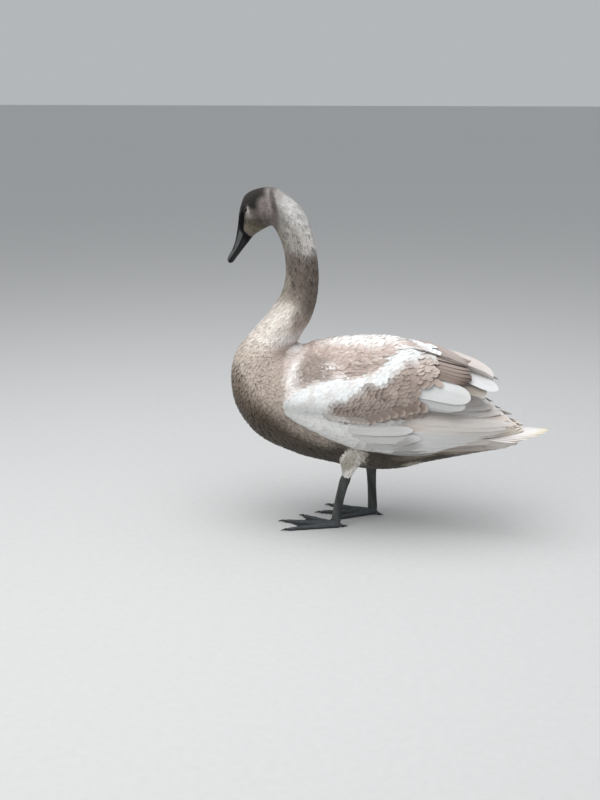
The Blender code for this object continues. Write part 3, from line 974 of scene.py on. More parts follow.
# ---------------------------------------------------------------- markings
@dataclass(frozen=True)
class Wash:
    """A soft patch of colour on both sides of the bird, placed in side view.

    Attributes:
        y: Middle, in millimetres.
        z: Middle, in millimetres.
        long: Half length.
        tall: Half height.
        lean: Degrees that its length rises towards the tail.
        colour: Its colour.
        strength: How much of what lies below it hides.
        soft: Width of its soft rim as a share of its size.
    """

    y: float
    z: float
    long: float
    tall: float
    lean: float
    colour: str
    strength: float = 1.0
    soft: float = 0.6

    def cover(self, points: Array) -> Array:
        """How much of each place the patch covers.

        Args:
            points: Points in metres, before the head turns.

        Returns:
            Shares from 0 to 1.
        """
        y, z = points[..., 1] / MM - self.y, points[..., 2] / MM - self.z
        lean = math.radians(self.lean)
        u = (y * math.cos(lean) + z * math.sin(lean)) / self.long
        v = (-y * math.sin(lean) + z * math.cos(lean)) / self.tall
        return self.strength * (1 - smooth(1 - self.soft / 2, 1 + self.soft / 2, np.hypot(u, v)))


BODY_ASH = "#a0958b"
WASHES = (
    # neck
    Wash(-215, 700, 75, 90, 0, "#a7a29d"),
    Wash(-222, 748, 92, 22, -38, "#cccac8", 1.0, 0.9),
    Wash(-172, 690, 22, 46, 8, "#d8d4d0", 0.95, 0.9),
    # Painted shade: the front and side of the upper neck, where it curves in below the head, are darkened.
    Wash(-248, 672, 20, 48, 20, "#8d887c", 0.8, 0.9),
    Wash(-242, 728, 16, 36, 12, "#8f8d89", 0.85, 0.9),
    Wash(-200, 604, 70, 46, 0, "#71665f", 0.95, 0.7),
    Wash(-166, 555, 24, 86, 0, "#6a5f57", 0.9, 0.8),
    Wash(-243, 575, 20, 50, 0, "#a0988c", 0.8, 0.9),
    Wash(-240, 492, 52, 48, -20, "#eee6dd", 0.95, 0.8),
    Wash(-290, 455, 62, 40, -35, "#ebe2d9", 0.95, 0.8),
    # Partly the neck base's own grey-brown and partly painted shade in the crease where the neck meets the back.
    Wash(-192, 462, 26, 58, 0, "#7f756c", 0.9, 0.9),
    Wash(-224, 428, 20, 34, 0, "#81766e", 0.8, 0.9),
    # breast and belly
    Wash(-318, 404, 60, 42, -20, "#c6b9ae", 0.9, 0.9),
    Wash(-262, 366, 52, 66, 0, "#b9aba0", 0.9, 0.9),
    Wash(-362, 340, 42, 56, 10, "#85776a", 0.9, 0.9),
    # The lower breast and belly are the plumage's own stained brown, darkened further as painted shade on the
    # underside.
    Wash(-322, 278, 82, 52, -40, "#63574a", 0.95, 0.9),
    Wash(-240, 214, 130, 50, -30, "#43392d", 0.95, 0.9),
    Wash(-40, 160, 270, 62, 0, "#362d22", 0.97, 0.6),
    Wash(62, 158, 20, 12, 10, "#b3ab9e", 0.8, 0.9),
    Wash(-66, 188, 24, 26, 0, "#b9b2a8", 0.9, 0.8),
    Wash(150, 214, 110, 20, 12, "#a59a8b", 0.6, 0.9),
    Wash(275, 254, 100, 38, -12, "#f4f0eb", 1.0, 0.5),
    # back
    Wash(-60, 420, 190, 92, -2, "#bcaaa1", 1.0, 0.5),
    Wash(-95, 462, 150, 22, 2, "#f1edea", 0.95, 0.9),
    Wash(-212, 364, 22, 50, 4, "#f0ebe8", 0.9, 1.3),
    Wash(-170, 385, 40, 34, 8, "#94877f", 0.9, 0.8),
    Wash(-110, 375, 34, 14, 12, "#eae5e2", 0.85, 0.7),
    Wash(190, 345, 150, 90, -30, "#f0ece9", 0.95, 0.5),
    # head
    Wash(-305, 735, 62, 60, 0, "#6f6764", 1.0, 0.3),
    Wash(-324, 788, 60, 32, 14, "#29231f", 1.0, 0.6),
    Wash(-351, 745, 19, 54, 14, "#1b1817", 1.0, 0.5),
    Wash(-303, 758, 20, 14, 8, "#1b1816", 1.0, 0.9),
    Wash(-296, 731, 20, 10, -25, "#5c534d", 0.75, 0.9),
    Wash(-262, 782, 26, 18, -30, "#a39e9b", 0.8, 0.9),
    Wash(-278, 750, 20, 18, 0, "#958b89", 0.7, 0.9),
    Wash(-322, 740, 5, 11, 10, "#cfccc8", 0.9, 0.9),
    Wash(-317, 724, 13, 10, 0, "#908b85", 0.6, 0.9),
    Wash(-262, 768, 8, 30, 21, "#564e4a", 0.85, 0.9),
    Wash(-304, 720, 12, 8, 0, "#433c36", 0.85, 0.9),
    Wash(-318, 708, 7, 9, 0, "#55504a", 0.7, 0.9),
    Wash(-288, 739, 10, 5, -20, "#6b615c", 0.5, 0.9),
    Wash(-306, 712, 26, 9, -22, "#5b5144", 0.85, 0.9),
    Wash(-308, 697, 36, 9, -20, "#756e5c", 0.85, 0.9),
)


def body_colour(flat: Array) -> Array:
    """The plumage's colour at places on the body.

    Args:
        flat: Points in metres, before the head turns.

    Returns:
        Linear colours.
    """
    # The edges of the patches wander by a few millimetres.
    wander = np.stack([0 * flat[:, 0], waves(flat, 0.03, 5), waves(flat, 0.03, 6)], -1) * 0.005
    places = flat + wander
    colour = plain(BODY_ASH, len(flat))
    for wash in WASHES:
        colour = mix(colour, linear(wash.colour), wash.cover(places))
    return colour


# The bare black skin between the bill and the eye, as a tapering strip in side view (z, y, half width).
LORE = ((700.0, -350.0, 13.0), (712.0, -346.0, 11.0), (723.0, -342.5, 8.5), (733.0, -339.5, 6.5), (742.0, -336.0, 4.5))


def lore_cover(flat: Array) -> Array:
    """How much of a place on the head is bare black lore.

    Args:
        flat: Points in metres, before the head turns.

    Returns:
        Shares from 0 to 1.
    """
    y, z = flat[..., 1] / MM, flat[..., 2] / MM
    middle, half = read(LORE, z), read([(row[0], row[2]) for row in LORE], z)
    inside = 1 - smooth(half - 0.6, half + 0.6, np.abs(y - middle))
    low, high = LORE[0][0], LORE[-1][0]
    return inside * smooth(low - 12, low - 8, z) * (1 - smooth(high - 1, high + 1, z))


# ---------------------------------------------------------------- legs
@dataclass
class Leg:
    """One leg, in millimetres.

    Attributes:
        side: Its side of the bird.
        x: Distance from the middle.
        thigh: Top of the feathered shin, y and z.
        ankle: The ankle, y and z.
        foot: The middle of the foot, y and z.
        bow: How far the shank bows forwards.
        thigh_x: Distance of the feathered shin's top from the middle.
        shank_deep: Depth of the shank, front to back.
        shank_wide: Its width.
        wides: Half widths of the feathered shin down its length, from 0 to 1.
        deeps: Half depths of the feathered shin.
    """

    side: Side
    x: float
    thigh: tuple[float, float]
    ankle: tuple[float, float]
    foot: tuple[float, float]
    bow: float
    thigh_x: float = 72.0
    shank_deep: float = 20.0
    shank_wide: float = 14.0
    wides: Line = ((0.0, 26.0), (0.3, 24.0), (0.6, 18.0), (0.85, 12.0), (1.0, 9.0))
    deeps: Line = ((0.0, 32.0), (0.3, 28.5), (0.6, 21.5), (0.85, 14.5), (1.0, 11.0))

    @staticmethod
    def between(top: Array, low: Array, share: Array) -> Array:
        """Points on the straight line from a top to a low end, in millimetres."""
        return top + (low - top) * np.asarray(share)[..., None]

    def thigh_point(self, share: Array, around: Array, depth: float) -> Array:
        """Points of the feathered shin's surface.

        Args:
            share: How far down the shin, from 0 to 1.
            around: Radians from the rear.
            depth: How far inside the surface, in millimetres.

        Returns:
            Points in metres.
        """
        top = np.array([self.side.value * self.thigh_x, *self.thigh])
        low = np.array([self.side.value * self.x, self.ankle[0], self.ankle[1] + 2.0])
        wide, deep = read(self.wides, share) - depth, read(self.deeps, share) - depth
        offset = np.stack([wide * np.sin(around), deep * np.cos(around), 0 * wide], -1) * MM
        return self.between(top, low, share) * MM + offset

    def thigh_shell(self) -> tuple[Array, list[tuple[int, ...]], Array]:
        """The shin's skin.

        Returns:
            Points in metres, faces and colours.
        """
        rings, sides = 16, 24
        points = self.thigh_point(*grid(np.linspace(0.0, 1.0, rings), ring_angles(sides)), THIGH_COAT)
        ends = [tuple(range(sides - 1, -1, -1)), tuple(range((rings - 1) * sides, rings * sides))]
        return points.reshape(-1, 3), tube_faces(rings, sides) + ends, plain("#8a857c", rings * sides)


THIGH_COAT = 2.5  # depth of the shin's coat over its skin, in millimetres
LEGS = {
    Side.LEFT: Leg(Side.LEFT, 54.0, (-63.0, 212.0), (-84.0, 127.0), (-110.0, 21.0), 4.0),
    Side.RIGHT: Leg(Side.RIGHT, 54.0, (-36.0, 212.0), (-40.0, 127.0), (-34.0, 21.0), 0.0),
}


# ---------------------------------------------------------------- the skin and the body's coat
@dataclass
class Eye:
    """Where an eye sits and how large it is, in millimetres before the head turns: opening sizes are halves."""

    x: float = 20.0
    y: float = -332.5
    z: float = 743.5
    ball: float = 6.6
    opening_long: float = 5.0
    opening_tall: float = 4.1

    def centre(self, body: BodySurface, side: Side) -> Array:
        """The ball's middle in metres."""
        return body.with_head((self.x * side.value, self.y, self.z))


@dataclass
class Skin:
    """The one skin of the bird, from the base of the bill to the root of the tail and down to the ankles."""

    body: BodySurface
    wings: dict[Side, WingSurface]
    eye: Eye = field(default_factory=Eye)
    wing_coat: float = 8.0  # depth of the coverts over the wing's flesh, in millimetres
    sides: int = 112
    # Depth of the coat in millimetres by section number, thinnest at the face.
    coat: Line = ((5.5, 1.0), (6, 0.7), (9.5, 1.6), (12.5, 3.0), (16, 4.0), (20, 6.5), (29, 6.5), (31, 4.0))
    # Distance in millimetres between rings of points, by section number.
    pace: Line = ((6, 1.3), (10, 1.8), (13, 3.2), (19, 5.0), (31, 6.0))
    start: float = 5.75  # section number where the skin comes out from under the bill

    def coat_depth(self, along: Array) -> Array:
        """Depth of the coat in millimetres at a distance along the body."""
        return read(self.coat, self.body.index(along))

    def stations(self) -> Array:
        """Distances along the body, close together on the head and wider on the trunk.

        Returns:
            Distances in millimetres.
        """
        found, at = [], self.body.place(self.start)
        while at < self.body.places[-1]:
            found.append(at)
            at += float(read(self.pace, self.body.index(np.array(at))))
        return np.array([*found, self.body.places[-1]])

    def sink_eyes(self, points: Array, normals: Array) -> Array:
        """Draws the skin in round each eye, so that the ball sits in a socket below a low brow.

        Args:
            points: The skin's points in metres.
            normals: The ways out of the bird.

        Returns:
            The moved points.
        """
        for side in Side:
            away = points - self.eye.centre(self.body, side)
            level = np.linalg.norm(away - normals * np.sum(away * normals, -1, keepdims=True), axis=-1) / MM
            near = np.linalg.norm(away, axis=-1) < 22 * MM
            pit = 3.2 * (1 - smooth(5.2, 10.5, level)) * near
            points = points - normals * (pit * MM)[..., None]
        return points

    def make(self, finish: bpy.types.Material) -> None:
        """Builds the skin.

        Args:
            finish: Its finish.
        """
        along, around = grid(self.stations(), np.linspace(0, FULL_TURN, self.sides + 1))
        flat = self.body.flat(along, around)
        normals = self.body.outward(along, around)
        points = self.body.base(along, around) - normals * (self.coat_depth(along) * MM)[..., None]
        points = self.swell_wings(self.sink_eyes(points, normals)).reshape(-1, 3)
        colour = body_colour(flat.reshape(-1, 3)) * 0.78  # painted shade: the skin seen in the gaps between the feathers is darkened
        colour = mix(colour, linear("#0b0b0c"), lore_cover(flat).reshape(-1))
        places = self.body.unwrap(along, around).reshape(-1, 2)
        # The grid is cut along the back line, so the map runs from back to back.
        places[:, 0] = 0.01 + 0.98 * (around / FULL_TURN).reshape(-1)
        number = np.arange(along.size).reshape(along.shape)
        quads = np.stack([number[1:, :-1], number[1:, 1:], number[:-1, 1:], number[:-1, :-1]], -1).reshape(-1, 4)
        faces = [tuple(q) for q in quads.tolist()]
        for ring, step in ((number[0], 1), (number[-1], -1)):
            hub = len(points)
            points = np.vstack([points, points[ring].mean(0)])
            colour = np.vstack([colour, colour[ring[0]]])
            places = np.vstack([places, places[ring].mean(0)])
            for pair in zip(ring[:-1].tolist(), ring[1:].tolist()):
                faces.append((*pair[::-step], hub))
        for leg in LEGS.values():
            extra, its_faces, its_colour = leg.thigh_shell()
            faces += [tuple(i + len(points) for i in f) for f in its_faces]
            places = np.vstack([places, [0.5, 0.6] + extra[:, [0, 2]] * 0.3])
            points, colour = np.vstack([points, extra]), np.vstack([colour, its_colour])
        obj = mesh_object("skin", points, faces, finish)
        paint(obj, colour)
        lay_map(obj, BAKE_MAP, np.clip(places, 0.0, 1.0))
        lay_map(obj, VANE_MAP, places)
        weld(obj, 0.001 * MM)
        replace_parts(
            obj, "head", "neck_upper", "neck_middle", "neck_lower", "trunk",
            "thigh_left", "thigh_right", "wing_left_arm", "wing_right_arm",
        )

    def swell_wings(self, points: Array) -> Array:
        """Moves the flanks out to the flesh of the folded wings, which is one skin with the trunk.

        Args:
            points: The skin's points in metres.

        Returns:
            The moved points.
        """
        for side, surface in self.wings.items():
            y, angle = surface.locate(points)
            middle = axis_height(y)
            x, z = points[..., 0] / MM, points[..., 2] / MM - middle
            radius = np.hypot(x, z)
            wanted = surface.reach(y, angle) - self.wing_coat
            fade = smooth(-226, -200, y) * (1 - smooth(110, 175, y))
            fade = fade * smooth(-58, -46, angle) * (1 - smooth(76, 86, angle)) * (x * side.value > 0)
            grown = radius + np.maximum(0, wanted - radius) * fade
            moves = (radius > 1) & (y > -232) & (y < 300)
            scale = np.where(moves, grown / np.maximum(radius, 1), 1.0)
            points = np.stack([points[..., 0] * scale, points[..., 1], (middle + z * scale) * MM], -1)
        return points


@dataclass
class Tract:
    """A tract of body plumage, in section numbers and degrees from the back line.

    Attributes:
        name: The piece's name.
        slot: Which down it is; the head's down gets a finish of its own.
        start: Section number where it starts.
        end: Section number where it ends.
        length: Lengths of its feathers at the start and the end, in millimetres.
        width: Widths at the start and the end.
        gap: Shares of the length and width by which neighbours stand apart.
        form: The outline.
        lift: How far tips stand over the surface, in millimetres.
        ruffle: How much heights and headings vary.
        contrast: How much lighter or darker single feathers are.
        fringe: How much paler the fringes are.
        flecks: How dark single dark flecks are.
        sink: How deep in the coat the roots lie, as a share of its depth.
        thick: Thickness of a feather, in millimetres.
        reach: Lowest and highest degrees from the back line.
    """

    name: str
    slot: str
    start: float
    end: float
    length: tuple[float, float]
    width: tuple[float, float]
    gap: tuple[float, float] = (0.4, 0.62)
    form: Form = Form.TUFT
    lift: float = 0.6
    ruffle: float = 0.5
    contrast: float = 0.12
    fringe: float = 0.12
    flecks: float = 0.0
    sink: float = 0.6
    thick: float = 0.22
    reach: tuple[float, float] = (0.0, 180.0)


FACE_X = 26.0  # how far from the middle the face's side lies, in millimetres
HEAD_LOW = 690.0  # height above which all is head or upper neck
EYE_BARE = 6.4  # how far the bare skin reaches round an eye's middle


class BodyCoat:
    """The feathers of head, neck and trunk."""

    def __init__(self, body: BodySurface, skin: Skin) -> None:
        """Remembers what the coat lies on.

        Args:
            body: The body's surface.
            skin: The skin below the coat.
        """
        self.body, self.skin = body, skin

    def bears_feathers(self, flat: Array) -> Array:
        """Feathers grow but on the bare lores, the eyes and the flanks that the folded quills lie on.

        Args:
            flat: Points in metres, before the head turns.

        Returns:
            Whether each place bears feathers.
        """
        x, y, z = np.abs(flat[:, 0]) / MM, flat[:, 1] / MM, flat[:, 2] / MM
        on_eye = (np.hypot(y - self.skin.eye.y, z - self.skin.eye.z) <= EYE_BARE) & (z >= HEAD_LOW)
        angle = np.degrees(np.arctan2(z - axis_height(y), x))
        under_wing = (y > 80) & (y < 264) & (angle > -20) & (angle < 62)
        return (lore_cover(flat) < 0.5) & ~on_eye & ~under_wing

    def roots(self, tract: Tract, rng: np.random.Generator) -> tuple[Array, Array, Array]:
        """Roots in staggered rings.

        Args:
            tract: The tract.
            rng: Where the jitter comes from.

        Returns:
            Along, around and the share of the way through the tract.
        """
        start, end = self.body.place(tract.start), self.body.place(tract.end)
        alongs, arounds, shares, angles = [], [], [], np.linspace(0, FULL_TURN, 73)
        at, ring = start, 0
        while at < end:
            share = (at - start) / (end - start)
            length = np.interp(share, (0, 1), tract.length)
            width = np.interp(share, (0, 1), tract.width)
            steps = np.linalg.norm(np.diff(self.body.base(np.full(len(angles), at), angles), axis=0), axis=1) / MM
            run = np.concatenate([[0], np.cumsum(steps)])
            count = max(8, int(run[-1] / (width * tract.gap[1])))
            spots = (np.arange(count) + 0.5 * (ring % 2) + rng.uniform(-0.28, 0.28, count)) / count * run[-1]
            alongs.append(at + rng.uniform(-0.3, 0.3, count) * length * tract.gap[0])
            arounds.append(np.interp(spots % run[-1], run, angles))
            shares.append(np.full(count, share))
            at += length * tract.gap[0]
            ring += 1
        return np.concatenate(alongs), np.concatenate(arounds), np.concatenate(shares)

    def make(self, tract: Tract, finish: bpy.types.Material, seed: int) -> None:
        # Painted shade: the tufts darken towards the top, where the shin runs in under the body.
        """Builds one tract.

        Args:
            tract: The tract.
            finish: Its finish.
            seed: Picks its jitter.
        """
        rng = np.random.default_rng(seed)
        along, around, share = self.roots(tract, rng)
        flat = self.body.flat(along, around)
        degrees = np.degrees(np.minimum(around % FULL_TURN, FULL_TURN - around % FULL_TURN))
        kept = self.bears_feathers(flat) & (degrees >= tract.reach[0]) & (degrees <= tract.reach[1])
        along, around, share, flat = along[kept], around[kept], share[kept], flat[kept]
        count, small = len(along), self.near_face(flat)
        length = np.interp(share, (0, 1), tract.length) * rng.uniform(0.85, 1.15, count) * MM * small
        width = np.interp(share, (0, 1), tract.width) * rng.uniform(0.85, 1.15, count) * MM * small
        tip = self.body.walk(along, around, rng.normal(0, 0.26 * tract.ruffle, count), length)
        clump = waves(flat, 0.016, seed + 3)
        high = tract.lift * (0.4 + rng.random(count) * tract.ruffle * 1.6) + 0.25 * clump * tract.ruffle
        middle = self.body.flat((along + tip[0]) / 2, (around + tip[1]) / 2)
        level = 1 + tract.contrast * (rng.normal(0, 0.7, count) + 0.55 * waves(flat, 0.009, seed + 9))
        if tract.flecks:
            dark = smooth(0.45, 1.0, waves(flat, 0.0045, seed + 21) + rng.normal(0, 0.35, count))
            level = level * (1 - tract.flecks * dark * self.fleck_cover(middle))
        tint = np.clip(body_colour(middle) * np.clip(level, 0.35, 1.5)[:, None], 0, 0.95)
        sheet = FeatherMesh(tract.name)
        low = -self.skin.coat_depth(along) * MM * tract.sink
        high = high * MM * np.minimum(1, length / (6 * MM))
        edge = np.clip(tint * (1 + tract.fringe) + tract.fringe * 0.06, 0, 0.97)
        tilt = rng.normal(0, 0.2 * tract.ruffle, count) * MM
        batch = Batch(self.body, (along, around), tip, width, low, high, tint, edge, tract.form, tract.thick * MM, tilt)
        sheet.add(replace(batch, shade=0.2, fringe=0.4))
        sheet.build(finish)

    @staticmethod
    def fleck_cover(flat: Array) -> Array:
        """How strongly dark flecks show: most on the neck and the front of the breast.

        Args:
            flat: Points in metres, before the head turns.

        Returns:
            Shares from 0 to 1.
        """
        y, z = flat[:, 1] / MM, flat[:, 2] / MM
        neck = smooth(520, 560, z) * (1 - smooth(700, 790, z))
        breast = smooth(-300, -345, y) * (1 - smooth(400, 440, z)) * smooth(250, 300, z)
        return np.clip(0.35 + neck + breast, 0, 1)

    def near_face(self, flat: Array) -> Array:
        """Feathers shrink towards the eyes.

        Args:
            flat: Points in metres, before the head turns.

        Returns:
            Sizes as shares of the full size.
        """
        x, y, z = np.abs(flat[:, 0]) / MM, flat[:, 1] / MM, flat[:, 2] / MM
        away = np.sqrt((x - FACE_X) ** 2 + (y - self.skin.eye.y) ** 2 + (z - self.skin.eye.z) ** 2)
        return np.where(z > HEAD_LOW, np.clip(0.5 + 0.5 * smooth(5, 22, away), 0.5, 1.0), 1.0)


# ---------------------------------------------------------------- wings
Tints = tuple[Array, Array, Array]  # tints, fringes and how much painted shade the covered roots get

# Lines over a folded wing, as y in millimetres and degrees above level.
RIDGE: Line = (
    (-226, 7), (-204, 24), (-175, 31), (-143, 36), (-106, 39), (-51, 41), (-20, 45),
    (-6, 52), (2, 60), (14, 68), (37, 76), (60, 81), (95, 85), (145, 88),
)
COVERT_END: Line = (
    (-226, 4), (-190, 0), (-117, -3), (-71, -6), (-26, -5), (23, -1), (57, 4), (87, 10), (98, 24), (120, 42), (145, 50),
)
BROWN_TOP: Line = (
    (-135, 5), (-120, 9), (-95, 13), (-70, 17), (-45, 21), (-22, 26),
    (6, 35), (36, 45), (66, 54), (82, 61), (100, 67), (150, 74),
)
BUNDLE_TOP: Line = ((84, 30), (100, 38.8), (117, 42.7), (141, 45), (163, 46.4), (181, 45.3), (197, 42.6))
BUNDLE_LOW: Line = ((84, 26), (92, 24), (101, 17), (132, 21), (165, 26), (192, 31))
HAND_END: Line = ((-215, -4), (-182, -14), (-113, -27), (-67, -35), (0, -41), (62, -43), (130, -38), (185, -22))
MANTLE_END: Line = tuple((y, angle + 1) for y, angle in RIDGE)
BACK_LINE: Line = ((-226, 70), (-190, 92), (200, 92))

# Marks on the shoulder feathers: where, half width in degrees, colour and strength.
MANTLE_MARKS = (
    (((-110, 63), (-20, 66)), 2.5, "#d6c4b8", 0.6),
    (((-92, 51), (-56, 49)), 2.2, "#8b7266", 0.7),
    (((-100, 57), (-74, 53)), 2.4, "#795f53", 0.85),
    (((-66, 60), (-40, 54)), 3.0, "#795f53", 0.8),
    (((-38, 61.5), (-12, 60)), 2.2, "#795f53", 0.8),
    (((-122, 48), (-98, 46)), 2.2, "#776a63", 0.8),
    (((-84, 43), (-36, 45)), 2.2, "#7f6458", 0.75),
    # Partly the mantle's own grey-brown and partly painted shade in the crease above the ridge's front.
    (((-178, 44), (-122, 40)), 4.8, "#786c65", 0.75),
    (((-168, 57), (-142, 50)), 3.4, "#857972", 0.7),
    (((-140, 53), (-124, 52), (-112, 49), (-104, 44), (-96, 40)), 2.8, "#f1eded", 0.95),
    # Painted shadow: a dark line below the white feathers along the top of the back.
    (((-44, 84), (-12, 84.5), (8, 81), (32, 77)), 1.7, "#6f5c55", 0.85),
    (((-40, 79), (-5, 78), (30, 72)), 3.5, "#d3beb4", 0.6),
)
STREAK = np.array([1.0, 0.36, 1.0])  # mottling is drawn out along the bird into streaks
MOST_ROWS = 40


@dataclass(frozen=True)
class QuillRow:
    """Large feathers of the folded wing, spread evenly through a row from the lowest layer up.

    Attributes:
        count: How many.
        root: Places of the roots, as y and degrees, at even steps through the row.
        tip: Places of the tips.
        width: Widest widths in millimetres, at even steps.
        high: Heights of the tips over the surface.
        colour: Colours in turn.
        edge: Fringe colours in turn.
        low: Heights of the roots.
    """

    count: int
    root: Line
    tip: Line
    width: tuple[float, ...]
    high: tuple[float, ...]
    colour: tuple[str, ...]
    edge: tuple[str, ...]
    low: tuple[float, ...] = (-4.0, -4.0)

    @property
    def shares(self) -> Array:
        """How far through the row each quill stands, from 0 to 1."""
        return np.arange(self.count) / (self.count - 1)

    def spread(self, values: Sequence) -> Array:
        """Values for each quill.

        Args:
            values: Numbers or pairs at even steps through the row.

        Returns:
            A row for each quill.
        """
        steps = np.arange(len(values))
        table = np.array(values, float).reshape(len(values), -1)
        return np.stack([np.interp(self.shares * steps[-1], steps, value) for value in table.T], -1)

    def tints(self, colours: Sequence[str]) -> Array:
        """A linear colour for each quill."""
        turn = (self.shares * len(self.colour)).astype(int)
        return np.array([linear(colours[min(len(colours) - 1, k)]) for k in turn])

    def columns(self) -> list[Array]:
        """Roots, tips, widths, heights of roots and tips, tints and fringes, with a row for each quill."""
        told = [self.spread(values) for values in (self.root, self.tip, self.width, self.low, self.high)]
        return [*told, self.tints(self.colour), self.tints(self.edge)]


# Painted shade: the lowest primaries, along the wing's lower edge, are darker than the rest.
LOWER_PRIMARIES = QuillRow(
    5, ((30, -43), (24, -36), (20, -28)), ((236, -48), (282, -46), (306, -35), (290, -28), (250, -20)),
    (20, 24), (5.0, 6.6), ("#aea59d", "#bfb6ae", "#cfc8c2", "#d2cbc5"), ("#bfb6ae", "#dcd5cf"),
)
PRIMARIES = QuillRow(
    7, ((40, -34), (0, -26), (-10, -14)), ((222, -10), (274, 20), (316, 45)),
    (23, 25), (6.2, 7.2), ("#e0dfdf", "#dcdad9", "#dfd7d1"), ("#e8e7e6", "#e6ded8", "#eadfd3"),
)
INNER_PRIMARIES = QuillRow(
    7, ((-10, -12), (0, -2), (30, 22)), ((314, 51), (298, 60), (265, 73), (222, 66)),
    (32, 36), (7.1, 8.2), ("#e2d8d1", "#ded6d0", "#dfdad6"), ("#eadfd3", "#ecdfd5", "#e5dfda"), (-3.0, -3.0),
)
SECONDARIES = QuillRow(
    8, ((-120, -20), (-80, -9), (-30, -2)), ((150, -38), (214, -22), (260, 8), (288, 38)),
    (26, 22), (6.6, 8.6), ("#e1e0df", "#dcdbda", "#ddd7d2"), ("#e8e7e5", "#e4dfdb"), (-4.5, -4.5),
)
HAND_COVERTS = QuillRow(
    5, ((-80, -36), (-92, -26), (-100, -13)), ((130, -44), (114, -33), (96, -20), (72, -10)),
    (25, 24), (6.2, 7.0), ("#c6c6c5", "#c3c2c1", "#d0cfcd"), ("#cfcecd", "#d9d8d7"),
)
ALULA = QuillRow(
    4, ((-6, -43), (10, -28)), ((118, -46), (94, -31), (72, -20)),
    (18, 18), (7.4, 8.2), ("#9b9895", "#a8a6a3", "#b5b3b1"), ("#b4b1af", "#c3c1bf"), (0.0, 0.0),
)
# Painted shade: the lowest of these quills is grey-brown, as shade below the big white one.
UPPER_TERTIALS = QuillRow(
    3, ((84, 55), (78, 68), (72, 80)), ((234, 54), (257, 67), (243, 78)),
    (42, 60, 46), (0.0, 4.5, 7.5), ("#aba197", "#e9e8e9", "#ddd5d0"), ("#c2b8ae", "#ecebec", "#e6e0dc"),
    (-13.0, -13.0, -11.0),
)
DARK_TERTIALS = QuillRow(
    11, ((72, 53), (64, 64), (56, 84)), ((188, 54), (200, 58), (193, 72), (176, 88)), (27, 28), (3.4, 7.8),
    ("#8f8077", "#8a7a71", "#8d7d74", "#96877e", "#9d8d84", "#a69790", "#ada099", "#b8aca6", "#cfc5c0"),
    ("#6b5b53", "#54453e", "#5b4c45", "#76665e", "#8a7b72", "#95877f", "#9d9088", "#a99d96", "#c5bbb5"), (-7.0, -7.0),
)
# Painted shade: the lower quills of the white bundle are greyer than the top one.
WHITE_TERTIALS = QuillRow(
    3, ((46, 17), (44, 23), (38, 33)), ((168, 27), (187, 32.5), (196, 41.5)),
    (28, 48), (2.5, 7.5), ("#c6c7c6", "#d3d4d3", "#e9eaea"), ("#d2d1d0", "#dad9d7", "#ecebea"), (-15.0, -15.0),
)
GREATER_COVERTS = QuillRow(
    16, ((-150, 3), (-60, 2), (56, 20)), ((-100, -4), (-18, -7), (104, 18)),
    (16, 22), (2.6, 5.2), ("#c3bfbb", "#aaa099", "#95877f", "#8d7d74"), ("#d6d1cc", "#c9bfb7", "#c2b3a8"),
)


@dataclass(frozen=True)
class CovertRows:
    """Staggered rows of small feathers that climb from one line to another.

    Attributes:
        low: The line of the lowest row.
        high: The line that no row passes.
        span: First and last y.
        gap: Distance between neighbours in a row and between rows, in millimetres.
        length: Full length of a feather in millimetres.
        width: Its full width.
        lift: Heights of the tips at the lowest and the highest row, in millimetres.
        form: The outline.
        small: Size of the feathers at the front of the wing, as a share of the full size.
        tucked: Whether the rows stop where the tertials cover them.
    """

    low: Line
    high: Line
    span: tuple[float, float]
    gap: tuple[float, float]
    length: float
    width: float
    lift: tuple[float, float]
    form: Form = Form.COVERT
    small: float = 0.55
    tucked: bool = False

    def size(self, y: Array) -> Array:
        """Size of the feathers at stations along the bird, as a share of the full size."""
        return self.small + (1 - self.small) * smooth(-215, -70, np.asarray(y, float))

    def under_tertials(self, y: Array, angle: Array) -> Array:
        """Whether places lie under the tertials."""
        bundle = (angle > read(BUNDLE_LOW, y + 8) - 3) & (angle < read(BUNDLE_TOP, y + 8) + 1) & (y > 78)
        return bundle | (y > 116) & (angle > 46)

    def spots(self, surface: WingSurface, rng: np.random.Generator) -> tuple[Array, Array, Array, Array]:
        """Places at an even pace over a surface.

        Args:
            surface: What the feathers lie on.
            rng: Where the jitter comes from.

        Returns:
            y, angle, the size at each place and how far up it is from 0 to 1.
        """
        found = []
        for row in range(MOST_ROWS):
            at, line = self.span[0] + (row % 2) * self.gap[0] * self.small / 2, []
            while at < self.span[1]:
                line.append(at)
                at += self.gap[0] * float(self.size(at))
            y = np.array(line)
            size = self.size(y)
            y = y + rng.uniform(-0.3, 0.3, len(y)) * self.gap[0] * size
            base, top = read(self.low, y), read(self.high, y)
            climb = (row + rng.uniform(-0.28, 0.28, len(y))) * self.gap[1] * size
            angle = base + np.degrees(climb / surface.reach(y, base + 10))
            kept = (angle < top) & ~(self.under_tertials(y, angle) & self.tucked)
            if not kept.any():
                break
            share = np.clip((angle - base) / np.maximum(top - base, 1), 0, 1)
            found.append(np.stack([y, angle, size, share], 1)[kept])
        return tuple(np.concatenate(found).T)


HAND_ROWS = CovertRows(HAND_END, COVERT_END, (-216, 40), (15.0, 11.0), 46.0, 23.0, (0.2, 1.4))
ARM_ROWS = CovertRows(COVERT_END, RIDGE, (-224, 134), (10.0, 8.0), 32.0, 16.5, (1.0, 2.0), tucked=True)
MANTLE_ROWS = CovertRows(MANTLE_END, BACK_LINE, (-222, 118), (9.5, 9.0), 56.0, 12.5, (1.5, 2.2), Form.CONTOUR, 0.62)


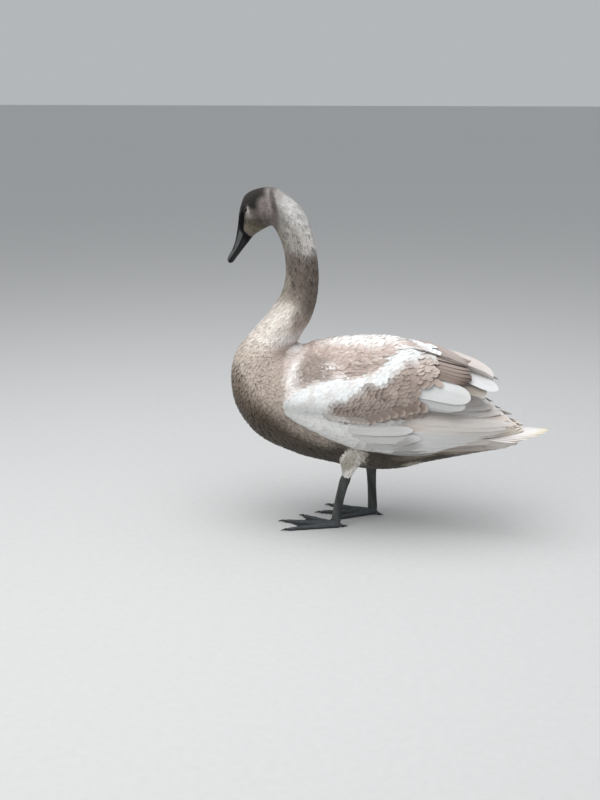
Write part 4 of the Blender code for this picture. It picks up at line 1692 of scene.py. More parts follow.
@dataclass
class Wing:
    """One folded wing and its feathers."""

    side: Side
    outer: WingSurface
    hand: WingSurface
    crest: WingSurface

    def arm_colours(self, y: Array, angle: Array, points: Array, rng: np.random.Generator) -> Tints:
        """Tints of the arm's coverts: white near the ridge and at the front, brown below.

        Args:
            y: Stations along the bird in millimetres.
            angle: Degrees above level.
            points: The same places in metres.
            rng: Where the differences between feathers come from.

        Returns:
            Tints, fringes and how dark the roots are.
        """
        above = angle - read(COVERT_END, y)
        rise = angle - read(BROWN_TOP, y) + 5.0 * waves(points, 0.024, 31)
        brown = (1 - smooth(-5.0, 6.0, rise)) * smooth(-150, -100, y + 14 * waves(points, 0.03, 32))
        white = mix(plain("#eef0f0", len(y)), linear("#d8d0cb"), 0.5 * smooth(0.2, 1.2, waves(points, 0.018, 33)))
        white = mix(white, linear("#bfc0bd"), (1 - smooth(2, 16, above)) * 0.5)
        dark = plain("#857670", len(y))
        low_middle = smooth(-95, -55, y) * (1 - smooth(40, 75, y)) * (1 - smooth(8, 24, above))
        for colour, share in (
            ("#b09d93", smooth(10, 90, y) * smooth(20, 45, angle) * 0.9),
            ("#574841", (0.9 - 0.5 * smooth(30, 80, y)) * smooth(-0.5, 0.7, waves(points, 0.022, 35))),
            ("#b9a99f", 0.6 * smooth(0.2, 1.1, waves(points, 0.018, 36))),
            ("#6b5d56", 0.65 * low_middle),
            ("#d2c5bd", 0.8 * smooth(52, 84, y) * smooth(40, 56, angle)),
            ("#a9a39e", (1 - smooth(0, 9, above)) * (1 - smooth(10, 60, y)) * 0.35),
        ):
            dark = mix(dark, linear(colour), share)
        level = 1 + rng.normal(0, 0.035, len(y)) + rng.normal(0, 0.1, len(y)) * brown
        tint = np.clip(mix(white, dark, brown) * level[:, None], 0, 0.95)
        pale = mix(np.clip(tint * 1.03, 0, 0.95), linear("#cbbdb3"), 0.5 * brown)
        return tint, pale, 0.1 + 0.3 * (brown > 0.4)

    def mantle_colours(self, y: Array, angle: Array, points: Array, rng: np.random.Generator) -> Tints:
        """Tints of the long soft feathers over the shoulders: brown, pinkish and white in streaks.

        Args:
            y: Stations along the bird in millimetres.
            angle: Degrees above level.
            points: The same places in metres.
            rng: Where the differences between feathers come from.

        Returns:
            Tints, fringes and how dark the roots are.
        """
        dark, pale = waves(points * STREAK, 0.012, 51), waves(points * STREAK, 0.010, 52)
        brown = smooth(-190, -165, y) * (1 - smooth(10, 45, y)) * (1 - smooth(66, 77, angle))
        front = smooth(-192, -172, y) * (1 - smooth(-128, -104, y)) * (1 - smooth(58, 68, angle))
        middle = smooth(-112, -88, y) * (1 - smooth(-12, 8, y)) * (1 - smooth(58, 66, angle))
        tint = body_colour(points)
        for colour, share in (
            ("#8b7d76", front * (0.35 + 0.5 * smooth(-0.4, 0.9, dark))),
            ("#7f6559", (0.25 * brown + 0.7 * middle) * smooth(-0.2, 0.8, dark)),
            ("#f1e8e3", (0.25 + 0.4 * brown) * smooth(0.0, 1.0, pale)),
            ("#f5f3f1", smooth(70, 79, angle) * 0.85),
            ("#f3f2f2", smooth(22, 40, y) * smooth(60, 70, angle) * 0.9),
        ):
            tint = mix(tint, linear(colour), share)
        for path, half, colour, strength in MANTLE_MARKS:
            inside = smooth(path[0][0] - 5, path[0][0] + 4, y) * (1 - smooth(path[-1][0] - 4, path[-1][0] + 5, y))
            tint = mix(tint, linear(colour), strength * inside * bell(angle, read(path, y), half))
        tint = np.clip(tint * (1 + rng.normal(0, 0.05, len(y)))[:, None], 0, 0.95)
        return tint, mix(tint, linear("#efe6e0"), np.full(len(y), 0.35)), 0.1 + 0.3 * (brown > 0.5)

    def hand_colours(self, y: Array, angle: Array, points: Array, rng: np.random.Generator) -> Tints:
        """Tints of the white and grey coverts below the arm.

        Args:
            y: Stations along the bird in millimetres.
            angle: Degrees above level, which make no difference here.
            points: The same places in metres.
            rng: Where the differences between feathers come from.

        Returns:
            Tints, fringes and how dark the roots are.
        """
        grey = smooth(-150, 0, y) * (0.3 + 0.5 * smooth(-0.3, 1.0, waves(points, 0.03, 41)))
        tint = mix(plain("#d9dad7", len(y)), linear("#adacaa"), grey)
        tint = np.clip(tint * (1 + rng.normal(0, 0.03, len(y)))[:, None], 0, 0.93)
        return tint, mix(tint, linear("#e6e6e4"), np.full(len(y), 0.5)), np.full(len(y), 0.1)

    def lay(
        self, sheet: FeatherMesh, rows: CovertRows, turn: Callable[[Array, Array], Array], colours: Callable,
        rng: np.random.Generator,
    ) -> None:
        """Lays small feathers in rows.

        Args:
            sheet: Where they go.
            rows: The rows.
            turn: Gives degrees that they point below the way to the tail, from y and how far up they are.
            colours: Gives tints, fringes and root shades from y, angle, points and the random numbers.
            rng: Where the jitter comes from.
        """
        y, angle, size, share = rows.spots(self.outer, rng)
        count = len(y)
        heading = -np.radians(turn(y, share) + rng.normal(0, 6.5, count))
        length = rows.length * size * rng.uniform(0.85, 1.18, count)
        width = rows.width * size * rng.uniform(0.88, 1.15, count)
        start = self.outer.walk(y, angle, heading + math.pi, length * 0.6 * MM)
        tip = self.outer.walk(y, angle, heading, length * 0.4 * MM)
        seen = self.outer.walk(y, angle, heading, length * 0.2 * MM)
        tint, edge, shade = colours(*seen, self.outer.base(y, angle), rng)
        lift = rows.lift[0] + (rows.lift[1] - rows.lift[0]) * share + rng.uniform(-0.25, 0.25, count)
        rear = 2.8 * smooth(52, 92, y) * smooth(8, 16, angle)
        high = (lift * (0.5 + 0.5 * size) + rear) * MM
        # Pale feathers lie flat, and brown ones stand out from each other with more painted shade on their covered
        # roots.
        for pale in (True, False):
            part = (shade < 0.25) == pale
            if part.any():
                raised, tilt, dark = (0.5, -0.12, 0.07) if pale else (1.0, -0.45, 0.34)
                batch = Batch(
                    self.outer, tuple(s[part] for s in start), tuple(t[part] for t in tip), width[part] * MM,
                    -3.0 * MM, high[part] * raised, tint[part], edge[part], rows.form, 0.3 * MM,
                )
                tilt = tilt * MM * self.side.value
                sheet.add(replace(batch, tilt=tilt, cup=0.09, bow=-0.4 * MM, fringe=0.34, shade=dark))

    def add_quills(
        self, name: str, surface: WingSurface, form: Form, rows: Sequence[QuillRow], finish: bpy.types.Material
    ) -> bpy.types.Object:
        """Builds a group of large feathers, each tucked under the one above it.

        Args:
            name: The group's name.
            surface: What they lie on.
            form: The outline.
            rows: The quills.
            finish: Their finish.

        Returns:
            The piece.
        """
        columns = zip(*(row.columns() for row in rows))
        root, tip, width, low, high, tint, edge = (np.concatenate(column) for column in columns)
        sheet = FeatherMesh(f"wing_{self.side.word}_{name}")
        width, low, high = (column[:, 0] * MM for column in (width, low, high))
        batch = Batch(surface, tuple(root.T), tuple(tip.T), width, low, high, tint, edge, form, 1.1 * MM)
        tilt = -1.5 * MM * self.side.value
        batch = replace(batch, tilt=tilt, cup=0.1, fringe=0.2, shade=0.12, dark=0.07, straight=True)
        sheet.add(batch, own_cells=True)
        return sheet.build(finish)

    def make(self, coverts: bpy.types.Material, quills: bpy.types.Material) -> None:
        """Builds all the wing's feathers.

        Args:
            coverts: Finish of the small feathers.
            quills: Finish of the large ones.
        """
        rng = np.random.default_rng(7)
        word = self.side.word
        sheet = FeatherMesh(f"wing_{word}_coverts")
        self.lay(sheet, HAND_ROWS, lambda y, share: 2 + 14 * smooth(-150, -220, y), self.hand_colours, rng)
        self.lay(sheet, ARM_ROWS, lambda y, share: 14 + 10 * smooth(-180, -60, y), self.arm_colours, rng)
        sheet.build(coverts)
        sheet = FeatherMesh(f"mantle_{word}")
        self.lay(sheet, MANTLE_ROWS, lambda y, share: 6 + 7 * (1 - share), self.mantle_colours, rng)
        sheet.build(coverts)
        long = (LOWER_PRIMARIES, PRIMARIES, INNER_PRIMARIES, SECONDARIES)
        piece = self.add_quills("primaries", self.hand, Form.QUILL, long, quills)
        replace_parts(piece, f"wing_{word}_hand")
        self.add_quills("hand_quills", self.hand, Form.TERTIAL, (HAND_COVERTS, ALULA), quills)
        crest = (UPPER_TERTIALS, DARK_TERTIALS, WHITE_TERTIALS)
        piece = self.add_quills("tertial_quills", self.crest, Form.TERTIAL, crest, quills)
        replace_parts(piece, f"wing_{word}_tertials")
        self.add_quills("greater_coverts", self.outer, Form.TERTIAL, (GREATER_COVERTS,), quills)


# ---------------------------------------------------------------- tail
class TailPlane(Surface):
    """The level sheet that the tail fans out in: along is y and around is x, both in millimetres."""

    steps = (1.0, 1.0)

    def __init__(self, height: float) -> None:
        """Sets the sheet's height in millimetres."""
        self.height = height

    def base(self, along: Array, around: Array) -> Array:
        """Points of the sheet in metres, sinking towards its sides."""
        z = self.height - np.asarray(around) ** 2 * 0.003
        return np.stack([np.asarray(around, float), np.asarray(along, float), z + 0 * np.asarray(along)], -1) * MM

    def outward(self, along: Array, around: Array) -> Array:
        """Straight up, as the fan is nearly level."""
        lean = np.asarray(around, float) * 0.0032
        return unit(np.stack([lean, 0 * lean, 1 + 0 * lean], -1))

    def unwrap(self, along: Array, around: Array) -> Array:
        """Places on the bake map."""
        return np.stack([np.asarray(around) / 200 + 0.5, np.asarray(along) / 500], -1)


@dataclass
class Tail:
    """The graduated tail fan, in millimetres."""

    root_y: float = 216.0
    tip_y: float = 378.0
    edge_short: float = 73.0  # how much shorter the outermost feathers are
    tip_half: float = 60.0
    root_half: float = 50.0
    height: float = 250.0
    width: float = 23.0  # of one feather
    count: int = 18

    def make(self, finish: bpy.types.Material) -> None:
        """Builds the tail.

        Args:
            finish: Its finish.
        """
        out = np.linspace(-1, 1, self.count)
        order = np.abs(out)
        alternate = np.where(np.arange(self.count) % 2, 0.0, 5.0)
        roots = (np.full(self.count, self.root_y), out * self.root_half)
        tips = (self.tip_y - self.edge_short * order**1.7 - alternate, out * self.tip_half * (1 - 0.12 * order))
        width = np.full(self.count, self.width) * MM
        low, high = (0.5 - 2.0 * order) * MM, (1.8 - 8.0 * order**1.4) * MM
        tint = mix(plain("#f8f4f2", self.count), linear("#e6deda"), order * 0.4)
        edge = mix(plain("#ede0bf", self.count), linear("#f3ebe0"), smooth(0.2, 0.8, order))
        batch = Batch(TailPlane(self.height), roots, tips, width, low, high, tint, edge, Form.QUILL, 0.9 * MM)
        sheet = FeatherMesh("tail_feathers")
        sheet.add(replace(batch, cup=0.1, bow=-1.0 * MM, fringe=0.16, shade=0.05, dark=0.1), own_cells=True)
        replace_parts(sheet.build(finish), "tail")


# ---------------------------------------------------------------- bill
@dataclass(frozen=True)
class BillHorn:
    """The skin-covered horn of a young bird's bill: slate grey, smooth and faintly waxy, black at the rims."""

    roughness: float = 0.5
    grain_mm: float = 0.8
    blotches: float = 260.0  # to the metre, so that each is about 4 mm wide

    def make(self) -> bpy.types.Material:
        """Builds the material.

        Returns:
            The material.
        """
        maker = MaterialMaker("bill_horn")
        # Dried mud and wear show as faint cloudy blotches.
        settings = {"Scale": self.blotches, "Detail": 3.0}
        cloud = add_node(maker.tree, "ShaderNodeTexNoise", settings, {"Vector": maker.place}).outputs[0]
        settings = dict(zip(RANGES, (*MIDDLING, 0.86, 1.12)))
        maker.markings(add_node(maker.tree, "ShaderNodeMapRange", settings, {"Value": cloud}).outputs[0])
        settings = dict(zip(RANGES, (*MIDDLING, self.roughness - 0.06, self.roughness + 0.12)))
        maker.feed("Roughness", add_node(maker.tree, "ShaderNodeMapRange", settings, {"Value": cloud}).outputs[0])
        settings = {"Scale": 1 / (self.grain_mm * MM), "Detail": 2.0}
        grain = add_node(maker.tree, "ShaderNodeTexNoise", settings, {"Vector": maker.place}).outputs[0]
        settings = {"Strength": 0.12, "Distance": 0.5 * MM}
        maker.feed("Normal", add_node(maker.tree, "ShaderNodeBump", settings, {"Height": grain}).outputs[0])
        return maker.finish(IOR=1.5, Specular_IOR_Level=0.16)


@dataclass
class Bill:
    """The upper and lower halves of the bill, parted along the mouth."""

    body: BodySurface
    mouth_front: tuple[float, float, float] = (0.0, -379.0, 619.5)
    mouth_back: tuple[float, float, float] = (0.0, -322.0, 691.0)
    gap: float = 0.25  # half of the gap between the halves
    sides: int = 72
    rows: int = 90
    end: float = 6.12  # section number
    nostril: tuple[float, float] = (3.15, 47.0)  # section number and degrees from the culmen
    rim: Line = ((0, 96), (2, 100), (4, 102), (6, 98))  # where the black lower edge starts, by section number
    slate: str = "#525655"
    black: str = "#050505"
    blade: str = "#4a4b4e"

    @staticmethod
    def from_culmen(around: Array) -> Array:
        """Degrees from the bill's upper line."""
        return np.degrees(np.abs((around + math.pi) % FULL_TURN - math.pi))

    def by_nostril(self, index: Array, degrees: Array, long: float, wide: float) -> Array:
        """A bump of height 1 at the nostril, told by its length in sections and its width in degrees."""
        return bell(index, self.nostril[0], long) * bell(degrees, self.nostril[1], wide)

    def shape(self, index: Array, around: Array) -> Array:
        """How far the surface stands off the plain loft, in millimetres.

        Args:
            index: Section numbers.
            around: Radians from the culmen.

        Returns:
            Heights.
        """
        degrees = self.from_culmen(around)
        culmen = 0.5 * bell(degrees, 0, 16) * smooth(1.5, 4, index)
        flank = -0.9 * bell(degrees, 48, 22) * smooth(1.6, 3.5, index) * (1 - smooth(5.2, 6, index))
        pit = -1.5 * self.by_nostril(index, degrees, 0.34, 8.5)
        rim = 0.35 * self.by_nostril(index, degrees, 0.6, 16)
        nail = 0.45 * np.exp(-((degrees / 40) ** 4)) * (1 - smooth(0.9, 1.25, index))
        lip = 0.5 * bell(degrees, 100, 9) * smooth(1.2, 2, index)
        return culmen + flank + pit + rim + nail + lip

    def colours(self, index: Array, around: Array) -> Array:
        """Slate sides, a black strip by the nostrils, and black rims, nail and base.

        Args:
            index: Section numbers.
            around: Radians from the culmen.

        Returns:
            Linear colours.
        """
        degrees, edge = self.from_culmen(around), read(self.rim, index)
        colour = np.broadcast_to(linear(self.slate), (*index.shape, 3))
        strip = smooth(2.6, 3.1, index) * (1 - smooth(34, 52, degrees - 6 * (index - 3)))
        nail, base = (1 - smooth(0.7, 1.1, index)) * 0.9, smooth(5.35, 5.8, index)
        # Painted shade: the shallow nostril pit is blackened as the shade of the opening.
        hole = 1.4 * self.by_nostril(index, degrees, 0.3, 7)
        for share in (strip, smooth(edge - 5, edge + 4, degrees), nail, base, hole):
            colour = mix(colour, linear(self.black), np.clip(share, 0, 1))
        # The lower half is black with a paler, horn-coloured line along its blade.
        pale = bell(degrees, 128, 13) * smooth(1.0, 2.0, index) * (1 - smooth(4.6, 5.6, index)) * 0.5
        return mix(colour, linear(self.blade), pale)

    def make(self, finish: bpy.types.Material) -> None:
        """Builds both halves.

        Args:
            finish: Their finish.
        """
        along, around = grid(self.body.place(self.end) * np.linspace(0, 1, self.rows) ** 1.25, ring_angles(self.sides))
        index = self.body.index(along)
        height = self.shape(index, around) * smooth(0, 0.8, index) * MM
        points = self.body.base(along, around) + self.body.outward(np.maximum(along, 1.2), around) * height[..., None]
        # The blunt end closes in a dome.
        dome = self.body.base(along[:1], around[:1]).mean(1)
        points[0] = dome + (points[0] - dome) * 0.55
        count = along.size
        ends = [tuple(range(self.sides - 1, -1, -1)), tuple(range(count - self.sides, count))]
        faces = tube_faces(self.rows, self.sides) + ends
        places = self.body.unwrap(along, around).reshape(-1, 2) * [1.0, 9.0]
        front, back = self.body.with_head(self.mouth_front), self.body.with_head(self.mouth_back)
        up = unit(np.cross(self.body.head_way((1.0, 0.0, 0.0)), back - front))
        up = up * np.sign(up[2])
        for name, sign in (("upper", 1), ("lower", -1)):
            obj = mesh_object(f"bill_{name}_horn", points.reshape(-1, 3), faces, finish)
            paint(obj, self.colours(index, around).reshape(-1, 3))
            lay_map(obj, BAKE_MAP, places.clip(0, 1))
            self.cut(obj, front + up * sign * self.gap * MM, up * sign)
            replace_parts(obj, f"bill_{name}")

    @staticmethod
    def cut(obj: bpy.types.Object, place: Array, way: Array) -> None:
        """Cuts a piece by a plane, keeps the side that the plane faces and closes the cut.

        Args:
            obj: The piece.
            place: A point of the plane.
            way: The way the plane faces.
        """
        work = bmesh.new()
        work.from_mesh(obj.data)
        found = bmesh.ops.bisect_plane(
            work, geom=work.verts[:] + work.edges[:] + work.faces[:], dist=1e-7,
            plane_co=Vector(place), plane_no=Vector(way), clear_inner=True,
        )
        rim = [e for e in found["geom_cut"] if isinstance(e, bmesh.types.BMEdge)]
        bmesh.ops.contextual_create(work, geom=rim)
        bmesh.ops.recalc_face_normals(work, faces=work.faces)
        work.to_mesh(obj.data)
        work.free()
        obj.data.shade_smooth()
        obj.data.set_sharp_from_angle(angle=math.radians(55))


# ---------------------------------------------------------------- eyes
@dataclass(frozen=True)
class WetEye:
    """A wet eye: dark brown iris round a black pupil, under a clear tear film that gives the sharp glint."""

    iris: str = "#1c110a"
    pupil: str = "#040404"
    white: str = "#1a1410"

    def make(self) -> bpy.types.Material:
        """Builds the material.

        Returns:
            The material.
        """
        maker = MaterialMaker("wet_eye")
        maker.markings()
        return maker.finish(Roughness=0.12, IOR=1.376, Specular_IOR_Level=0.0, Coat_Weight=0.6, Coat_Roughness=0.02)


@dataclass(frozen=True)
class LidSkin:
    """Bare lid skin: dark, matt and finely wrinkled."""

    roughness: float = 0.55
    wrinkle_mm: float = 0.5
    rim: str = "#0b0a0a"
    outer: str = "#2e2a28"

    def make(self) -> bpy.types.Material:
        """Builds the material.

        Returns:
            The material.
        """
        maker = MaterialMaker("lid_skin")
        maker.markings()
        settings = {"Scale": 1 / (self.wrinkle_mm * MM), "Detail": 1.0}
        grain = add_node(maker.tree, "ShaderNodeTexNoise", settings, {"Vector": maker.place}).outputs[0]
        settings = {"Strength": 0.3, "Distance": 0.3 * MM}
        maker.feed("Normal", add_node(maker.tree, "ShaderNodeBump", settings, {"Height": grain}).outputs[0])
        return maker.finish(Roughness=self.roughness, IOR=1.45)


@dataclass
class EyeParts:
    """An eyeball with its two lids."""

    eye: Eye
    body: BodySurface
    side: Side
    # The lids from the opening outwards: how far out and how far forward of the ball, in millimetres.
    profile: Line = (
        (0.0, -0.9), (0.05, 0.35), (0.45, 0.75), (1.0, 0.62), (1.7, 0.1), (2.6, -0.6), (3.6, -1.7), (4.2, -3.0),
    )

    def __post_init__(self) -> None:
        """Finds the ball's middle, the way it looks, the way to the bill and the way up."""
        self.centre = self.eye.centre(self.body, self.side)
        self.look = unit(self.body.head_way((self.side.value * 0.93, -0.3, 0.2)))
        to_tip = np.array([0.0, -0.72, -0.69])
        self.ahead = unit(to_tip - self.look * np.dot(to_tip, self.look))
        up = unit(np.cross(self.look, self.ahead))
        self.up = up * np.sign(up[2])

    def disc(self, turn: Array, reach: Array, height: Array) -> Array:
        """Points about the line of sight.

        Args:
            turn: Radians from the bill's side.
            reach: Distances from the line of sight, in millimetres.
            height: Distances along it.

        Returns:
            Points in metres.
        """
        level = self.ahead * np.cos(turn)[..., None] + self.up * np.sin(turn)[..., None]
        return self.centre + (self.look * height[..., None] + level * reach[..., None]) * MM

    def ball(self, finish: bpy.types.Material, shades: WetEye) -> None:
        """Builds the eyeball with its cornea.

        Args:
            finish: Its finish.
            shades: Colours of its parts.
        """
        rings, sides = 26, 40
        polar, turn = grid(np.linspace(0, math.pi, rings), ring_angles(sides))
        radius = self.eye.ball * (1 + 0.05 * (1 - smooth(0.3, 0.75, polar)))
        points = self.disc(turn, radius * np.sin(polar), radius * np.cos(polar))
        ripple = 0.8 + 0.2 * np.sin(turn * 23)  # the iris has fine spokes
        colour = np.broadcast_to(linear(shades.white), (*polar.shape, 3))
        colour = mix(colour, linear(shades.iris) * ripple[..., None], 1 - smooth(0.72, 0.8, polar))
        colour = mix(colour, linear(shades.pupil), 1 - smooth(0.36, 0.42, polar))
        name = f"eye_ball_{self.side.word}"
        obj = mesh_object(name, points.reshape(-1, 3), tube_faces(rings, sides, flip=True), finish)
        paint(obj, colour.reshape(-1, 3))
        lay_map(obj, BAKE_MAP, np.stack([turn / FULL_TURN, polar / math.pi], -1).reshape(-1, 2))
        weld(obj, 0.002 * MM)
        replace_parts(obj, f"eye_{self.side.word}")

    def lids(self, finish: bpy.types.Material, shades: LidSkin) -> None:
        """Builds the lids: a soft rim round an oval opening, running out under the feathers.

        Args:
            finish: Their finish.
            shades: Colours of the rim and the outer skin.
        """
        ball, sides = self.eye.ball, 56
        step, turn = grid(np.arange(len(self.profile)), ring_angles(sides))
        out, rise = np.array(self.profile)[step].transpose(2, 0, 1)
        corner = 0.7 * np.cos(turn) ** 8 * (np.cos(turn) > 0)  # the opening draws to a point towards the bill
        reach = np.hypot(self.eye.opening_long * np.cos(turn), self.eye.opening_tall * np.sin(turn)) + corner + out
        deep = np.sqrt(np.maximum(0.0, (ball * 1.05) ** 2 - np.minimum(reach, ball) ** 2))
        points = self.disc(turn, reach, deep + rise - np.maximum(0, reach - ball) * 0.55)
        name, faces = f"eye_lids_{self.side.word}", tube_faces(len(self.profile), sides)
        obj = mesh_object(name, points.reshape(-1, 3), faces, finish)
        paint(obj, mix(linear(shades.rim), linear(shades.outer), np.minimum(1.0, out / 2.4)).reshape(-1, 3))
        lay_map(obj, BAKE_MAP, np.stack([turn / FULL_TURN, step / (len(self.profile) - 1)], -1).reshape(-1, 2))
        thick = obj.modifiers.new("thickness", "SOLIDIFY")
        thick.thickness, thick.offset = 0.6 * MM, -1
        weld(obj, 0.002 * MM)


# ---------------------------------------------------------------- legs and feet
@dataclass(frozen=True)
class LegSkin:
    """Scaly skin of leg and web: slate black and leathery, with painted shade in the creases and patches of dried mud.
    """

    scale_mm: float = 3.2
    patches: float = 120.0  # of dried mud to the metre, so that each is about 8 mm wide
    roughness: float = 0.62

    def make(self) -> bpy.types.Material:
        """Builds the material.

        Returns:
            The material.
        """
        maker = MaterialMaker("leg_skin")
        # Six-sided plates about 3 mm wide, with painted shade darkening the creases between them.
        settings = {"feature": "DISTANCE_TO_EDGE", "Scale": 1 / (self.scale_mm * MM), "Randomness": 0.7}
        plates = add_node(maker.tree, "ShaderNodeTexVoronoi", settings, {"Vector": maker.place}).outputs[0]
        settings = dict(zip(RANGES, (0.0, 0.16, 0.55, 1.0)))
        crease = add_node(maker.tree, "ShaderNodeMapRange", settings, {"Value": plates}).outputs[0]
        settings = {"Strength": 0.6, "Distance": 0.8 * MM}
        maker.feed("Normal", add_node(maker.tree, "ShaderNodeBump", settings, {"Height": crease}).outputs[0])
        settings = {"Scale": self.patches, "Detail": 3.0}
        cloud = add_node(maker.tree, "ShaderNodeTexNoise", settings, {"Vector": maker.place}).outputs[0]
        settings = dict(zip(RANGES, (*MIDDLING, 0.75, 1.25)))
        level = add_node(maker.tree, "ShaderNodeMapRange", settings, {"Value": cloud}).outputs[0]
        both = add_node(maker.tree, "ShaderNodeMath", {"operation": "MULTIPLY"}, {0: crease, 1: level}).outputs[0]
        maker.markings(both)
        settings = dict(zip(RANGES, (*MIDDLING, self.roughness - 0.1, self.roughness + 0.12)))
        maker.feed("Roughness", add_node(maker.tree, "ShaderNodeMapRange", settings, {"Value": cloud}).outputs[0])
        return maker.finish(IOR=1.45)


@dataclass(frozen=True)
class ClawHorn:
    """Claw horn: black, smooth and a little worn at the tip."""

    roughness: float = 0.38
    streak_mm: float = 2.0

    def make(self) -> bpy.types.Material:
        """Builds the material.

        Returns:
            The material.
        """
        maker = MaterialMaker("claw_horn")
        # Fine streaks where the horn has worn.
        settings = {"Scale": 1 / (self.streak_mm * MM), "Detail": 2.0}
        streak = add_node(maker.tree, "ShaderNodeTexNoise", settings, {"Vector": maker.place}).outputs[0]
        settings = dict(zip(RANGES, (0.35, 0.75, 0.012, 0.035)))
        worn = add_node(maker.tree, "ShaderNodeMapRange", settings, {"Value": streak}).outputs[0]
        grey = add_node(maker.tree, "ShaderNodeCombineColor", links={i: worn for i in range(3)}).outputs[0]
        maker.feed("Base Color", grey)
        return maker.finish(Roughness=self.roughness, IOR=1.54)


class ShinSurface(Surface):
    """The outside of the feathered shin: along in hundredths of its length, around in radians."""

    steps = (1.0, 0.05)
    coat = 0.6  # depth of the roots below the solid, in millimetres

    def __init__(self, leg: Leg) -> None:
        """Takes the leg's measures."""
        self.leg = leg

    def base(self, along: Array, around: Array) -> Array:
        """Points of the surface in metres."""
        return self.leg.thigh_point(np.asarray(along, float) / 100, np.asarray(around, float), self.coat)

    def outward(self, along: Array, around: Array) -> Array:
        """Unit normals, away from the bone."""
        around = np.asarray(around, float)
        return unit(np.stack([np.sin(around), np.cos(around), 0.12 + 0 * around], -1))

    def unwrap(self, along: Array, around: Array) -> Array:
        """Places on the bake map."""
        return np.stack([np.asarray(around) / FULL_TURN, np.clip(np.asarray(along) / 120 + 0.08, 0, 1)], -1)


